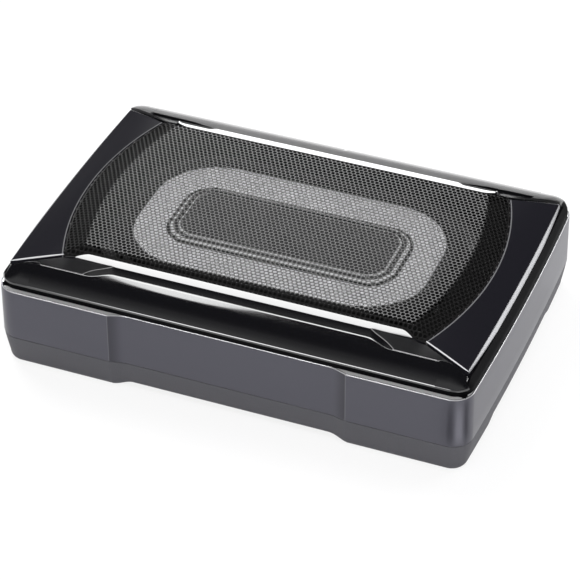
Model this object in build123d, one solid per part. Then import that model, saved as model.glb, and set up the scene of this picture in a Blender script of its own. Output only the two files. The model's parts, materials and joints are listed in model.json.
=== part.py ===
from build123d import *
from math import cos, degrees, pi, radians, sin, sqrt
import os

os.makedirs("parts", exist_ok=True)

# Millimetres. X runs left to right, Y front to back, Z up.
# The origin is the middle of the underside, on the plane of the four corner pads.

# Overall size
body_width = 280.0
body_depth = 190.0
body_height = 70.0

# Plan of the casing
side_bow = 2.2            # how far the side walls bow out at mid depth
corner_radius = 12.0
recess_depth = 2.5        # the middle of the front and rear walls is set back
recess_half = 61.5        # half width of the set back stretch
crease_half = 69.5        # half distance between the vertical creases
wall = 3.0

# Heights
pad_height = 2.7          # the underside between the corner pads is this much higher
parting_z = 18.8          # joint between base cover and housing
wall_top_z = 50.9         # top rim of the housing wall
deck_thickness = 3.0
deck_top_z = wall_top_z
base_floor_z = pad_height + 2.5

# Top frame
frame_front_y = 92.2      # outer face of the frame's front and rear
frame_side_x = 139.1      # outer face of the frame's skirt at mid depth
skirt_top_x = 136.3
skirt_top_z = 58.6
crest_in_y = 66.6
crest_out_y = 71.9
crest_in_z = 67.3
crest_out_z = 66.5
band_y = 74.4             # foot of the steep band below the crest
band_z = 63.4
shoulder_y = 78.9         # foot of the shallower shoulder at both ends of the band
fascia_y = 91.6
fascia_z = 55.9
shoulder_in_x = 75.0
shoulder_out_x = 92.0

# Side caps
cap_in_mid_x = 120.2
cap_in_end_x = 105.7
cap_in_end_y = 70.5
cap_in_z = 65.9
cap_out_mid_x = 134.9
cap_out_z = 61.9
cap_corner_x = 132.9
cap_corner_y = 81.6
cap_thickness = 2.4

# Grille
grille_top_z = body_height
grille_thickness = 1.0
grille_edge_z = 65.5
grille_hem_z = 63.4
fold_mid_x = 106.4
fold_end_x = 96.4
fold_y = 63.0

# Woofer: rounded rectangles given as half sizes and corner radius
cone_half = (86.6, 48.5, 36.0)
cap_half = (69.0, 28.4, 18.0)
cap_top_half = (62.5, 22.5, 13.5)
cone_edge_z = 58.8
cone_inner_z = 58.0
centre_cap_z = 60.6
flange_z = deck_top_z + 1.0
deck_hole_grow = 11.5     # clearance round the cone edge, measured outwards
screw_grow = 15.4
flange_grow = 19.0
landing_z = 56.9
roll_radius = 4.5
coil_radius = 25.0
magnet_radius = 50.0
former_low_z = 19.0
yoke_z = 9.0
magnet_z = 14.0
top_plate_z = 27.0
gap_top_z = 32.0

# Well in the rear wall with the terminal panel at its bottom
well_half = 55.0
well_low_z = 24.0
well_high_z = 46.5
panel_y = 81.0
panel_thickness = 2.0
connector_z = 30.5
control_z = 41.0
rca_places = (-45.0, -31.0)
speaker_socket_x = (-20.0, 0.0)
power_socket_x = (4.0, 26.0)
fuse_x = 41.5
led_x = -46.0
level_x = -29.0
lowpass_x = -8.0
phase_x = 14.0

# Amplifier board below the well
board_half_x = 106.0
board_front_y = 63.0
board_rear_y = 86.5
board_z = 20.0
board_thickness = 1.6

# Fixings
m3_radius = 1.5
m4_radius = 2.0
insert_hole_radius = 2.5
insert_spacing_x = 224.0
insert_spacing_y = 140.0
fit_gap = 0.05

half_w = body_width / 2
half_d = body_depth / 2
bow_radius = (half_d ** 2 + side_bow ** 2) / (2 * side_bow)


def save(name, shape):
    """Write one node as its own STEP file."""
    if isinstance(shape, (list, ShapeList)):
        shape = Compound(children=list(shape))
    shape.label = name
    export_step(shape, "parts/" + name + ".step")


def face_xz(points, y=0.0):
    """Closed polygon in the plane Y = y; points are (x, z)."""
    wire = Polyline([Vector(x, y, z) for x, z in points], close=True)
    return make_face(wire)


def face_yz(points, x=0.0):
    """Closed polygon in the plane X = x; points are (y, z)."""
    wire = Polyline([Vector(x, y, z) for y, z in points], close=True)
    return make_face(wire)


def along_x(points, x0, x1):
    """Prism with a (y, z) profile between X = x0 and X = x1."""
    return extrude(face_yz(points, x0), amount=x1 - x0, dir=(1, 0, 0))


def along_y(points, y0, y1):
    """Prism with an (x, z) profile between Y = y0 and Y = y1."""
    return extrude(face_xz(points, y0), amount=y1 - y0, dir=(0, 1, 0))


def rounded(half, z, grow=0.0):
    """Rounded rectangle (half_x, half_y, radius) at height z, grown outwards."""
    a, b, r = half
    return Pos(0, 0, z) * RectangleRounded(2 * (a + grow), 2 * (b + grow), r + grow)


def slab(half, z0, z1, grow=0.0):
    return extrude(rounded(half, z0, grow), amount=z1 - z0)


def tube(r_out, r_in, z0, z1):
    outer = Pos(0, 0, (z0 + z1) / 2) * Cylinder(r_out, z1 - z0)
    return outer - Pos(0, 0, (z0 + z1) / 2) * Cylinder(r_in, z1 - z0 + 1)


def disc(x, y, r, z0, z1):
    return Pos(x, y, (z0 + z1) / 2) * Cylinder(r, z1 - z0)


def rod_y(x, z, r, y0, y1):
    """Round bar along Y."""
    return Pos(x, (y0 + y1) / 2, z) * Rot(90, 0, 0) * Cylinder(r, y1 - y0)


def block(x0, x1, y0, y1, z0, z1):
    return Pos((x0 + x1) / 2, (y0 + y1) / 2, (z0 + z1) / 2) * Box(x1 - x0, y1 - y0, z1 - z0)


def near(shape_list, points, tol=0.3):
    """Vertices that lie at the given plan points."""
    found = []
    for v in shape_list:
        if any(abs(v.X - x) < tol and abs(v.Y - y) < tol for x, y in points):
            found.append(v)
    return found


def outline(inset, z, recess=recess_depth):
    """Plan of the casing at height z, set in by inset on every side."""
    w = half_w - inset
    d = half_d - inset
    end = w - side_bow
    corner = [(sx * end, sy * d) for sx in (-1, 1) for sy in (-1, 1)]
    edges = []
    for s in (-1, 1):
        path = [(s * end, s * d)]
        if recess:
            path += [(s * crease_half, s * d), (s * recess_half, s * (d - recess))]
            path += [(-s * recess_half, s * (d - recess)), (-s * crease_half, s * d)]
        path += [(-s * end, s * d)]
        edges.append(Polyline(path))
        edges.append(ThreePointArc((-s * end, s * d), (-s * w, 0), (-s * end, -s * d)))
    flat = make_face(edges)
    flat = fillet(near(flat.vertices(), corner), max(corner_radius - inset, 3.0))
    if recess:
        hollow = [(sx * recess_half, sy * (d - recess)) for sx in (-1, 1) for sy in (-1, 1)]
        flat = fillet(near(flat.vertices(), hollow), 9.0)
    return Pos(0, 0, z) * flat


def side_sector(points):
    """Solid whose (x, z) profile follows the bowed right side of the casing."""
    centre = frame_side_x - bow_radius
    spin = Axis((centre, 0, 0), (0, 0, 1))
    half_angle = 3.4
    part = revolve(face_xz(points), axis=spin, revolution_arc=2 * half_angle)
    return part.rotate(spin, -half_angle)


def fold_x(y):
    """Side fold of the grille: an arc through its middle and its two ends."""
    sag = fold_mid_x - fold_end_x
    radius = (fold_y ** 2 + sag ** 2) / (2 * sag)
    return fold_mid_x - radius + sqrt(radius ** 2 - y ** 2)


def bowed(x, y):
    """An X position carried along the bow of the side wall."""
    return x - bow_radius + sqrt(bow_radius ** 2 - y ** 2)


stations = [-84.0, -63.0, -42.0, -21.0, 0.0, 21.0, 42.0, 63.0, 84.0]


def main_housing():
    """Die cast housing: walls, top deck, bosses and the well of the terminal panel."""
    outer = loft([outline(0.0, parting_z, 2.0), outline(0.3, wall_top_z, 3.0)], ruled=True)
    inner = extrude(outline(wall + recess_depth, parting_z - 1, 0.0),
                    amount=deck_top_z - deck_thickness - parting_z + 1)
    body = outer - inner
    body = body - slab(cone_half, deck_top_z - 6, deck_top_z + 1, deck_hole_grow)
    low = parting_z
    high = deck_top_z - deck_thickness
    for x, y in base_screw_places():
        body = body + disc(x, y, 5.0, low, high)
        body = body - disc(x, y, m3_radius + fit_gap, low - 1, low + 12)
    for x, y in frame_screw_places():
        body = body - disc(x, y, m3_radius + 0.2, high - 1, deck_top_z + 1)
    for x, y in woofer_screw_places():
        body = body + disc(x, y, 4.0, high - 4, high + 1)
        body = body - disc(x, y, m4_radius + fit_gap, high - 5, deck_top_z + 1)
    well = block(-well_half - 6, well_half + 6, panel_y, 90.5, well_low_z - 2, high)
    body = body + well - block(-well_half, well_half, 70, 100, well_low_z, well_high_z)
    for x, z in panel_screw_places():
        body = body - rod_y(x, z, 1.25 + fit_gap, panel_y - 1, panel_y + 7)
    return body


def base_screw_places():
    corners = [(x, y) for x in (-122.0, 122.0) for y in (-80.0, 80.0)]
    return corners + [(-127.0, 0.0), (127.0, 0.0), (-76.0, -82.0), (76.0, -82.0)]


def frame_screw_places():
    return [(x, y) for x in (-126.0, 126.0) for y in (-57.0, 57.0)]


def woofer_screw_places():
    a, b, r = cone_half
    reach = r + screw_grow
    places = []
    for angle in (radians(20), radians(80)):
        x, y = a - r + reach * cos(angle), b - r + reach * sin(angle)
        places += [(sx * x, sy * y) for sx in (-1, 1) for sy in (-1, 1)]
    return places


def panel_screw_places():
    return [(x, z) for x in (-well_half - 3, well_half + 3) for z in (28.0, 42.0)]


def base_cover():
    """Underside tray with four corner pads, screw bosses and bracket insert bosses."""
    top = parting_z - 0.15
    foot = 2.6
    body = loft([outline(0.2, top), outline(foot, 4.0)], ruled=True)
    body = body + loft([outline(foot, 4.0), outline(foot + 0.9, 1.2)], ruled=True)
    body = body + loft([outline(foot + 0.9, 1.2), outline(foot + 2.6, 0.0)], ruled=True)
    inner = extrude(outline(wall + 3.2, base_floor_z, 0.0), amount=parting_z)
    body = body - inner
    lower, raised = crease_half - 0.5, crease_half - 11.5
    body = body - along_y([(-lower, -1), (lower, -1), (lower, 0), (raised, pad_height),
                           (-raised, pad_height), (-lower, 0)], -110, 110)
    body = body - along_x([(-50, -1), (58, -1), (58, 0), (50, pad_height),
                           (-43, pad_height), (-50, 0)], -160, 160)
    for x, y in base_screw_places():
        body = body + disc(x, y, 5.0, 3.0, parting_z - 0.3)
        body = body - disc(x, y, m3_radius + 0.2, -1, parting_z)
        body = body - disc(x, y, 3.3, -1, 6.0)
    for x, y in insert_places():
        body = body + disc(x, y, 6.0, 2.0, 12.0)
        body = body - disc(x, y, 3.6 + fit_gap, -1, 10.0)
    for x in (-30.0, 30.0):
        body = body + block(x - 1, x + 1, -80, -55, base_floor_z - 0.5, 8.5)
    return body


def insert_places():
    return [(sx * insert_spacing_x / 2, sy * insert_spacing_y / 2) for sx in (-1, 1) for sy in (-1, 1)]


def bracket_inserts():
    """Threaded inserts in the pads that take the mounting bracket screws."""
    parts = []
    for x, y in insert_places():
        parts.append(disc(x, y, 3.6, 0.4, 9.8) - disc(x, y, insert_hole_radius, -1, 11))
    return parts


def cap_in_x(y):
    """Inner edge of the side cap: an arc through its middle and its two ends."""
    sag = cap_in_mid_x - cap_in_end_x
    radius = (cap_in_end_y ** 2 + sag ** 2) / (2 * sag)
    return cap_in_mid_x - radius + sqrt(radius ** 2 - y ** 2)


def frame_profile():
    """Height of the frame from front to rear as a closed (y, z) outline."""
    top = [(-frame_front_y, wall_top_z), (-frame_front_y, fascia_z - 0.6), (-fascia_y, fascia_z)]
    top += [(-83.4, 59.95), (-shoulder_y, 61.75)]
    top += [(-crest_out_y, crest_out_z), (-crest_in_y, crest_in_z)]
    top += [(crest_in_y, crest_in_z), (crest_out_y, crest_out_z)]
    top += [(shoulder_y, 63.6), (85.0, 61.6), (90.0, 59.0), (frame_front_y, 57.0)]
    top += [(frame_front_y, wall_top_z)]
    return top


def band_cutter():
    """Trough behind the front fascia that leaves the steep band below the crest."""
    steep = [(-crest_out_y, crest_out_z), (-band_y, band_z), (-shoulder_y, 61.75)]
    steep += [(-83.4, 59.95), (-83.4, 72.0), (-crest_out_y, 72.0)]
    body = along_x(steep, -130, 130)
    for s in (-1, 1):
        upper = Vector(s * (shoulder_in_x + 2), -crest_out_y, crest_out_z)
        lower = Vector(s * shoulder_in_x, -band_y, band_z)
        tip = Vector(s * shoulder_out_x, -shoulder_y, 61.75)
        normal = (lower - upper).cross(tip - upper).normalized()
        if normal.X * s < 0:
            normal = normal * -1
        body = split(body, bisect_by=Plane(origin=upper, z_dir=normal), keep=Keep.BOTTOM)
    return body


def rear_slots():
    """Narrow pockets between the rear crest rail and the rear rim."""
    plan = [(76.0, 72.6), (92.0, 76.2), (117.0, 77.0), (103.0, 73.4), (98.0, 72.5)]
    slots = []
    for s in (-1, 1):
        flat = make_face(Polyline([(s * x, y) for x, y in plan], close=True))
        slots.append(extrude(Pos(0, 0, 63.0) * flat, amount=10, dir=(0, 0, 1)))
    return slots


def cap_band(grow_in, grow_out, top_lift, bottom_drop, outer_low):
    """Lofted band that follows the side cap: inner edge, crowned top, outer bevel."""
    faces = []
    for y in stations:
        x_in = cap_in_x(y) - grow_in
        x_out = bowed(cap_out_mid_x, y)
        bevel = bowed(skirt_top_x + 0.3, y) + grow_out
        points = [(x_in, cap_in_z + top_lift), (x_out, cap_out_z + top_lift)]
        points += [(bevel, skirt_top_z + 0.4 + top_lift), (bevel, outer_low)]
        points += [(x_out - 1.6, cap_out_z - bottom_drop), (x_in, cap_in_z - bottom_drop)]
        faces.append(face_xz(points, y))
    return loft(faces)


def cap_end_plane(side, gap):
    """Vertical plane of the cap's slanted end; side is -1 front, 1 rear."""
    inner = Vector(cap_in_end_x, side * cap_in_end_y, 0)
    outer = Vector(cap_corner_x, side * cap_corner_y, 0)
    run = (outer - inner).normalized()
    normal = Vector(-run.Y * side, run.X * side, 0)
    if normal.Y * side < 0:
        normal = normal * -1
    return Plane(origin=inner + normal * gap, z_dir=normal)


def cap_between_ends(body, gap):
    for side in (-1, 1):
        body = split(body, bisect_by=cap_end_plane(side, gap), keep=Keep.BOTTOM)
    return body


def side_cap():
    """Right side cap: a crowned wing with a bevelled outer edge and two pegs."""
    body = cap_between_ends(cap_band(0.0, 0.0, 0.0, cap_thickness, skirt_top_z - 0.6), 0.0)
    for y in (-40.0, 40.0):
        body = body + disc(128.0, y, 2.5, 57.6, 61.5)
    return body


def opening_face(grow, z):
    """Whole grille opening: straight front and rear, bowed sides, swept corners."""
    y0 = crest_in_y + grow
    turn, tip, end = (91.0, y0), (98.8, 70.4 + grow), (cap_in_end_x + grow * 0.5, cap_in_end_y + grow)
    edges = []
    for s in (-1, 1):
        edges.append(Line((-turn[0], s * y0), (turn[0], s * y0)))
        for sx in (-1, 1):
            ends = [(sx * turn[0], s * y0), (sx * tip[0], s * tip[1])]
            edges.append(Spline(ends, tangents=[(sx, 0), (sx * 0.8, s * 0.6)]))
            edges.append(Line(ends[1], (sx * end[0], s * end[1])))
    for sx in (-1, 1):
        middle = (sx * (cap_in_mid_x + grow), 0)
        edges.append(ThreePointArc((sx * end[0], end[1]), middle, (sx * end[0], -end[1])))
    return Pos(0, 0, z) * make_face(edges)


def frame_outline(z):
    """Plan of the top frame at its foot."""
    end = frame_side_x - side_bow
    corner = [(sx * end, sy * frame_front_y) for sx in (-1, 1) for sy in (-1, 1)]
    edges = []
    for s in (-1, 1):
        edges.append(Line((s * end, s * frame_front_y), (-s * end, s * frame_front_y)))
        edges.append(ThreePointArc((-s * end, s * frame_front_y), (-s * frame_side_x, 0),
                                   (-s * end, -s * frame_front_y)))
    flat = make_face(edges)
    return Pos(0, 0, z) * fillet(near(flat.vertices(), corner), 11.0)


def frame_hollows():
    """Spaces under the frame that leave a wall of even thickness."""
    low = wall_top_z - 1
    front = along_x([(-89.6, low), (-89.6, 53.6), (-77.0, 58.9), (-70.0, 62.0), (-65.9, 62.0),
                     (-65.9, low)], -118, 118)
    rear = along_x([(65.9, low), (65.9, 62.0), (70.0, 62.0), (80.0, 60.4), (89.6, 55.6),
                    (89.6, low)], -118, 118)
    hollows = [front, rear]
    for s in (-1, 1):
        points = [(104.0, low), (104.0, 59.4), (118.0, 59.0), (133.6, 56.4), (134.6, low)]
        hollows.append(along_y([(s * x, z) for x, z in points], -66, 66))
    return hollows


def top_frame():
    """Black top frame: crest rails, front fascia, rear rim, seats for the side caps."""
    body = extrude(frame_outline(wall_top_z), amount=20)
    body = body & along_x(frame_profile(), -150, 150)
    side = [(-160, wall_top_z - 1), (frame_side_x + 0.3, wall_top_z - 1), (frame_side_x, wall_top_z),
            (skirt_top_x + 0.3, skirt_top_z), (skirt_top_x - 1.2, 72), (-160, 72)]
    right = side_sector(side)
    body = body & right & mirror(right, about=Plane.YZ)
    body = body - band_cutter()
    for slot in rear_slots():
        body = body - slot
    seat = cap_between_ends(cap_band(3.0, 6.0, 12.0, cap_thickness + 0.15, skirt_top_z - 3.5), 0.8)
    body = body - seat
    body = body - mirror(seat, about=Plane.YZ)
    body = body - extrude(opening_face(0.0, grille_hem_z - 0.3), amount=20)
    body = body - slab((101.0, 62.5, 24.0), wall_top_z - 1, 70)
    body = body - slab((106.5, 68.5, 50.0), wall_top_z - 1, 60.5)
    for hollow in frame_hollows():
        body = body - hollow
    body = body - block(-1.6, 1.6, frame_front_y - 1.2, frame_front_y + 2, wall_top_z - 1, 70)
    for x, y in frame_screw_places():
        body = body + disc(x, y, 4.0, wall_top_z, 58.0)
        body = body - disc(x, y, m3_radius + fit_gap, wall_top_z - 1, 57.0)
    for sx in (-1, 1):
        for y in (-40.0, 40.0):
            body = body - disc(sx * 128.0, y, 2.5 + fit_gap, 55.0, 70.0)
    return body


def grille_skin(z_top, edge_z, grow, bevel_shift, low):
    """Raised plateau with sloping sides and bevelled front and rear."""
    faces = []
    for y in (-72.0, -54.0, -36.0, -18.0, 0.0, 18.0, 36.0, 54.0, 72.0):
        x_fold = fold_x(y)
        x_out = cap_in_x(y) + 3.0
        slope = (z_top - edge_z) / (cap_in_x(y) - x_fold)
        z_out = edge_z - 3.0 * slope
        left = [(-x_out, low), (-x_out, z_out), (-x_fold, z_top)]
        points = left + [(x_fold, z_top), (x_out, z_out), (x_out, low)]
        faces.append(face_xz(points, y))
    body = loft(faces)
    drop = grille_top_z - crest_in_z + 0.3
    run = crest_in_y - fold_y
    for s in (-1, 1):
        normal = Vector(0, s * drop, run).normalized()
        origin = Vector(0, s * fold_y, grille_top_z) - normal * bevel_shift
        body = split(body, bisect_by=Plane(origin=origin, z_dir=normal), keep=Keep.BOTTOM)
    return body & extrude(opening_face(grow, low), amount=20)


def grille():
    """Pressed steel grille with a folded hem, shown here as plain sheet."""
    outer = grille_skin(grille_top_z, grille_edge_z, -0.35, 0.0, grille_hem_z)
    inner = grille_skin(grille_top_z - grille_thickness, grille_edge_z - grille_thickness,
                        -0.35 - grille_thickness, grille_thickness, grille_hem_z - 1)
    return outer - inner


def grille_gasket():
    """Foam strip that the grille hem sits on."""
    outer = extrude(opening_face(-0.5, grille_hem_z - 0.28), amount=0.26)
    return outer - slab((101.6, 63.1, 24.6), 60, 65)


def around(half, profile):
    """Carry a profile of (distance outwards, height) round a rounded rectangle."""
    a, b, r = half
    side = Plane(origin=(a, r - b, 0), x_dir=(1, 0, 0), z_dir=(0, -1, 0)) * profile
    side = extrude(side, amount=2 * (b - r), dir=(0, 1, 0))
    front = Plane(origin=(r - a, b, 0), x_dir=(0, 1, 0), z_dir=(1, 0, 0)) * profile
    front = extrude(front, amount=2 * (a - r), dir=(1, 0, 0))
    face = Plane(origin=(a, b - r, 0), x_dir=(1, 0, 0), z_dir=(0, -1, 0)) * profile
    turn = revolve(face, axis=Axis((a - r, b - r, 0), (0, 0, 1)), revolution_arc=90)
    body = side + mirror(side, about=Plane.YZ) + front + mirror(front, about=Plane.XZ)
    for corner in (turn, mirror(turn, about=Plane.YZ)):
        body = body + corner + mirror(corner, about=Plane.XZ)
    return body


def flat_outline(points):
    return make_face(Polyline(points, close=True))


def woofer_gasket():
    gasket = slab(cone_half, deck_top_z, flange_z, flange_grow)
    gasket = gasket - slab(cone_half, 50, 53, deck_hole_grow)
    return drill_woofer_holes(gasket)


def drill_woofer_holes(body):
    for x, y in woofer_screw_places():
        body = body - disc(x, y, m4_radius + 0.2, 40, 60)
    return body


def funnel_solid(grow, lift):
    top = Pos(0, 0, lift) * rounded(cone_half, flange_z + 1.5, grow)
    low_r = 56.0 - (12.0 - grow)
    return loft([top, Pos(0, 0, 36.0 + lift) * RectangleRounded(2 * low_r, 2 * low_r, low_r - 0.5)])


def woofer_basket():
    """Steel chassis: stepped flange, windowed funnel, spider ledge and motor seat."""
    step = [(flange_grow, flange_z), (flange_grow, flange_z + 1.5), (12.0, flange_z + 1.5),
            (12.0, landing_z), (8.6, landing_z), (8.6, landing_z - 1.4), (10.4, landing_z - 1.4),
            (10.4, flange_z)]
    body = around(cone_half, flat_outline(step))
    walls = funnel_solid(11.4, 0.0) - funnel_solid(9.6, 1.2) - disc(0, 0, 47.0, 30, 38)
    for k in range(8):
        angle = radians(22.5 + 45 * k)
        window = Pos(75 * cos(angle), 52 * sin(angle), 44.5) * Rot(0, 0, degrees(angle))
        walls = walls - window * Box(60, 20, 9)
    body = body + walls + tube(56.0, 47.0, 36.0, 37.6)
    body = body + tube(51.0, 48.0, gap_top_z, 36.3) + tube(51.0, 29.0, gap_top_z, gap_top_z + 1.6)
    return drill_woofer_holes(body)


def surround():
    """Rubber half roll between the cone edge and the chassis landing."""
    centre = roll_radius + 0.4
    high = landing_z + 0.7
    roll = Pos(centre, high) * (Circle(roll_radius) - Circle(roll_radius - 0.8))
    roll = roll - Pos(centre, high - 10) * Rectangle(30, 20)
    lips = Pos(-1.4, landing_z + 0.35) * Rectangle(5.2, 0.7)
    lips = lips + Pos(10.2, landing_z + 0.35) * Rectangle(3.4, 0.7)
    return around(cone_half, roll + lips)


def cone():
    """Stiff oval diaphragm with a shallow bevel and a neck for the voice coil."""
    low = landing_z + 0.7
    body = slab(cone_half, low, cone_edge_z)
    bevel = loft([rounded(cone_half, cone_edge_z, -0.8), rounded(cone_half, cone_inner_z, -17.0)])
    body = body - bevel
    body = body + tube(coil_radius + 2.2, coil_radius, 50.0, low + 0.2)
    return body - disc(0, 0, coil_radius + 0.03, 40, 70)


def centre_cap():
    """Raised panel glued on the cone, plain on top."""
    lower = rounded(cap_half, cone_inner_z)
    upper = rounded(cap_top_half, centre_cap_z)
    body = loft([lower, upper])
    hollow_low = rounded(cap_half, cone_inner_z - 0.01, -1.4)
    hollow_top = rounded(cap_top_half, centre_cap_z - 1.2, -0.6)
    inner = loft([hollow_low, hollow_top])
    return body - inner


def voice_coil_former():
    return tube(coil_radius, coil_radius - 0.4, former_low_z, 58.3)


def voice_coil():
    return tube(coil_radius + 0.95, coil_radius, 21.0, 37.0)


def spider():
    """Corrugated suspension disc between the coil former and the chassis ledge."""
    waves = 5
    start, stop = coil_radius + 2.5, 47.0
    steps = 60
    top = []
    for k in range(steps + 1):
        r = start + (stop - start) * k / steps
        top.append((r, 38.2 + 1.1 * sin(2 * pi * waves * k / steps)))
    edge = [(coil_radius + 0.02, 38.2)] + top + [(53.2, 38.2), (53.2, 37.62)]
    edge += [(r, z - 0.58) for r, z in top[::-1]] + [(coil_radius + 0.02, 37.62)]
    return revolve(face_xz(edge), axis=Axis.Z)


def top_plate():
    return tube(47.0, coil_radius + 1.7, top_plate_z, gap_top_z)


def magnet():
    return tube(magnet_radius, 33.0, magnet_z, top_plate_z)


def yoke():
    """Back plate and pole in one piece, vented through the middle."""
    body = disc(0, 0, 46.0, yoke_z, magnet_z) + disc(0, 0, coil_radius - 1.0, magnet_z, gap_top_z)
    body = body - disc(0, 0, 9.0, yoke_z - 1, gap_top_z + 1)
    return chamfer(body.edges().group_by(Axis.Z)[0], 0.8)


def woofer_terminals():
    """Terminal strip on the rear of the chassis with two tags."""
    strip = block(-11, 11, 58.0, 66.0, 40.0, 43.0)
    strip = strip - funnel_solid(11.4, 0.0)
    for x in (-7.0, 7.0):
        strip = strip + block(x - 2.4, x + 2.4, 65.0, 65.8, 34.0, 41.0)
    return strip


def speaker_wires():
    """Pair of leads from the amplifier board to the terminal strip."""
    wires = []
    for side in (-1, 1):
        corners = [(side * 7.0, 33.9), (side * 7.0, 26.0), (side * 20.0, 26.0), (side * 20.0, 21.65)]
        flat = FilletPolyline(*corners, radius=1.8)
        path = Plane(origin=(0, 65.4, 0), x_dir=(1, 0, 0), z_dir=(0, -1, 0)) * flat
        section = Plane(origin=path @ 0, z_dir=path % 0) * Circle(0.75)
        wires.append(sweep(section, path=path))
    return wires


def circuit_board():
    """Amplifier board with four fixing holes."""
    top = board_z + board_thickness
    body = block(-board_half_x, board_half_x, board_front_y, board_rear_y, board_z, top)
    for x, y in board_screw_places():
        body = body - disc(x, y, m3_radius + 0.2, board_z - 1, top + 1)
    return body


def board_screw_places():
    return [(x, y) for x in (-101.0, 101.0) for y in (67.0, 80.0)]


def board_standoffs():
    posts = []
    for x, y in board_screw_places():
        hexagon = Pos(x, y, base_floor_z) * RegularPolygon(3.2, 6)
        post = extrude(hexagon, amount=board_z - base_floor_z)
        posts.append(post - disc(x, y, m3_radius + fit_gap, board_z - 9, board_z + 1))
    return posts


def heat_sink():
    """Aluminium bar with fins that carries heat into the housing wall."""
    body = block(62.0, 96.0, 85.0, 89.3, 22.2, 44.0)
    for k in range(7):
        body = body - block(61.0, 97.0, 88.0, 89.4, 24.0 + 3.0 * k, 25.4 + 3.0 * k)
    for x in transistor_places():
        body = body - rod_y(x, 36.5, 1.25 + fit_gap, 80, 88)
    return body


def transistor_places():
    return [67.0, 79.0, 91.0]


def power_transistors():
    """Flat power packages screwed to the heat sink, with three legs each."""
    parts = []
    for x in transistor_places():
        body = block(x - 5, x + 5, 80.4, 84.98, 25.0, 34.0)
        body = body + block(x - 5, x + 5, 83.7, 84.98, 34.0, 40.0)
        body = body - rod_y(x, 36.5, 1.6, 80, 86)
        for dx in (-2.54, 0.0, 2.54):
            body = body + block(x + dx - 0.4, x + dx + 0.4, 82.6, 83.1, 21.7, 25.5)
        parts.append(body)
    return parts


def toroid_core():
    return Pos(-84.0, 74.0, 28.0) * Rot(90, 0, 0) * (Cylinder(5.4, 4) - Cylinder(2.9, 5))


def toroid_winding():
    """Turns of enamelled wire round the core."""
    turns = []
    count = 16
    for k in range(count):
        angle = 2 * pi * (k + 0.5) / count
        x, z = -84.0 + 4.15 * cos(angle), 28.0 + 4.15 * sin(angle)
        loop = Pos(x, 74.0, z) * Rot(0, -degrees(angle), 0)
        outer = Box(3.9, 5.4, 0.7) - Box(2.7, 4.2, 2)
        turns.append(loop * outer)
    return turns


def capacitors():
    """Electrolytic capacitors standing on the board."""
    cans = []
    for x, y, r, h in ((-68.0, 70.0, 5.0, 20.0), (-57.5, 70.5, 4.0, 14.0), (62.0, 70.0, 5.0, 20.0),
                       (74.0, 70.0, 5.0, 20.0), (86.0, 70.0, 5.0, 20.0), (-95.5, 74.0, 3.2, 11.0)):
        low = board_z + board_thickness
        can = disc(x, y, r, low, low + h)
        groove = Pos(x, y, low + 2.6) * Torus(r + 0.35, 0.6)
        cans.append(can - groove)
    return cans


def driver_chips():
    low = board_z + board_thickness
    return [block(x - 5, x + 5, 63.3, 67.3, low, low + 1.8) for x in (-40.0, -6.0, 14.0)]


def terminal_panel():
    """Plate at the bottom of the rear well with openings for sockets and controls."""
    y0, y1 = panel_y - panel_thickness, panel_y
    body = block(-well_half - 5.8, well_half + 5.8, y0, y1, well_low_z - 1.8, 47.6)
    for x in rca_places:
        body = body - rod_y(x, connector_z, 4.15 + fit_gap, 70, 90)
    for x0, x1 in (speaker_socket_x, power_socket_x, (fuse_x - 11.5, fuse_x + 11.5)):
        body = body - block(x0 - fit_gap, x1 + fit_gap, 70, 90, 25.0 - fit_gap, 36.0 + fit_gap)
    for x in (level_x, lowpass_x):
        body = body - rod_y(x, control_z, 3.5 + fit_gap, 70, 90)
    body = body - rod_y(led_x, control_z, 1.5 + fit_gap, 70, 90)
    body = body - block(phase_x - 4.2, phase_x + 4.2, 70, 90, control_z - 1.9, control_z + 1.9)
    for x, z in panel_screw_places():
        body = body - rod_y(x, z, 1.45, 70, 90)
    return body


def rca_block():
    """Insulating body that holds both line input jacks on the board."""
    body = block(-52.0, -24.0, 68.0, 78.9, board_z + board_thickness, 35.8)
    for x in rca_places:
        body = body - rod_y(x, connector_z, 4.15 + fit_gap, 74, 90)
        body = body - rod_y(x, connector_z, 1.3 + fit_gap, 70, 90)
    return body


def rca_shell(x):
    barrel = rod_y(x, connector_z, 4.15, 74.1, 90.5) - rod_y(x, connector_z, 3.2, 74, 91)
    return barrel


def rca_insulator(x):
    return rod_y(x, connector_z, 3.18, 74.1, 89.0) - rod_y(x, connector_z, 1.75, 74, 90)


def rca_contacts():
    parts = []
    for x in rca_places:
        sleeve = rod_y(x, connector_z, 1.7, 74.1, 88.0) - rod_y(x, connector_z, 1.25, 76, 90)
        parts.append(sleeve + rod_y(x, connector_z, 1.3, 70.2, 74.2))
    return parts


def socket_body(x_range):
    """Square connector body with a cavity open to the rear."""
    x0, x1 = x_range
    body = block(x0, x1, 68.0, 86.5, 25.0, 36.0)
    body = body + block(x0 + 2, x1 - 2, 68.0, 76.0, board_z + board_thickness, 26.0)
    body = body - block(x0 + 1.5, x1 - 1.5, 73.0, 90.0, 26.5, 34.5)
    return body - block((x0 + x1) / 2 - 2, (x0 + x1) / 2 + 2, 79.0, 90.0, 34.0, 35.3)


def socket_pins(x_range, count, width):
    """Flat pins in a row, seated in the bottom of the socket cavity."""
    x0, x1 = x_range
    pins = []
    for k in range(count):
        x = x0 + 1.5 + (x1 - x0 - 3.0) * (k + 0.5) / count
        pins.append(block(x - width / 2, x + width / 2, 73.02, 80.0, 30.1, 30.9))
    return pins


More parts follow.
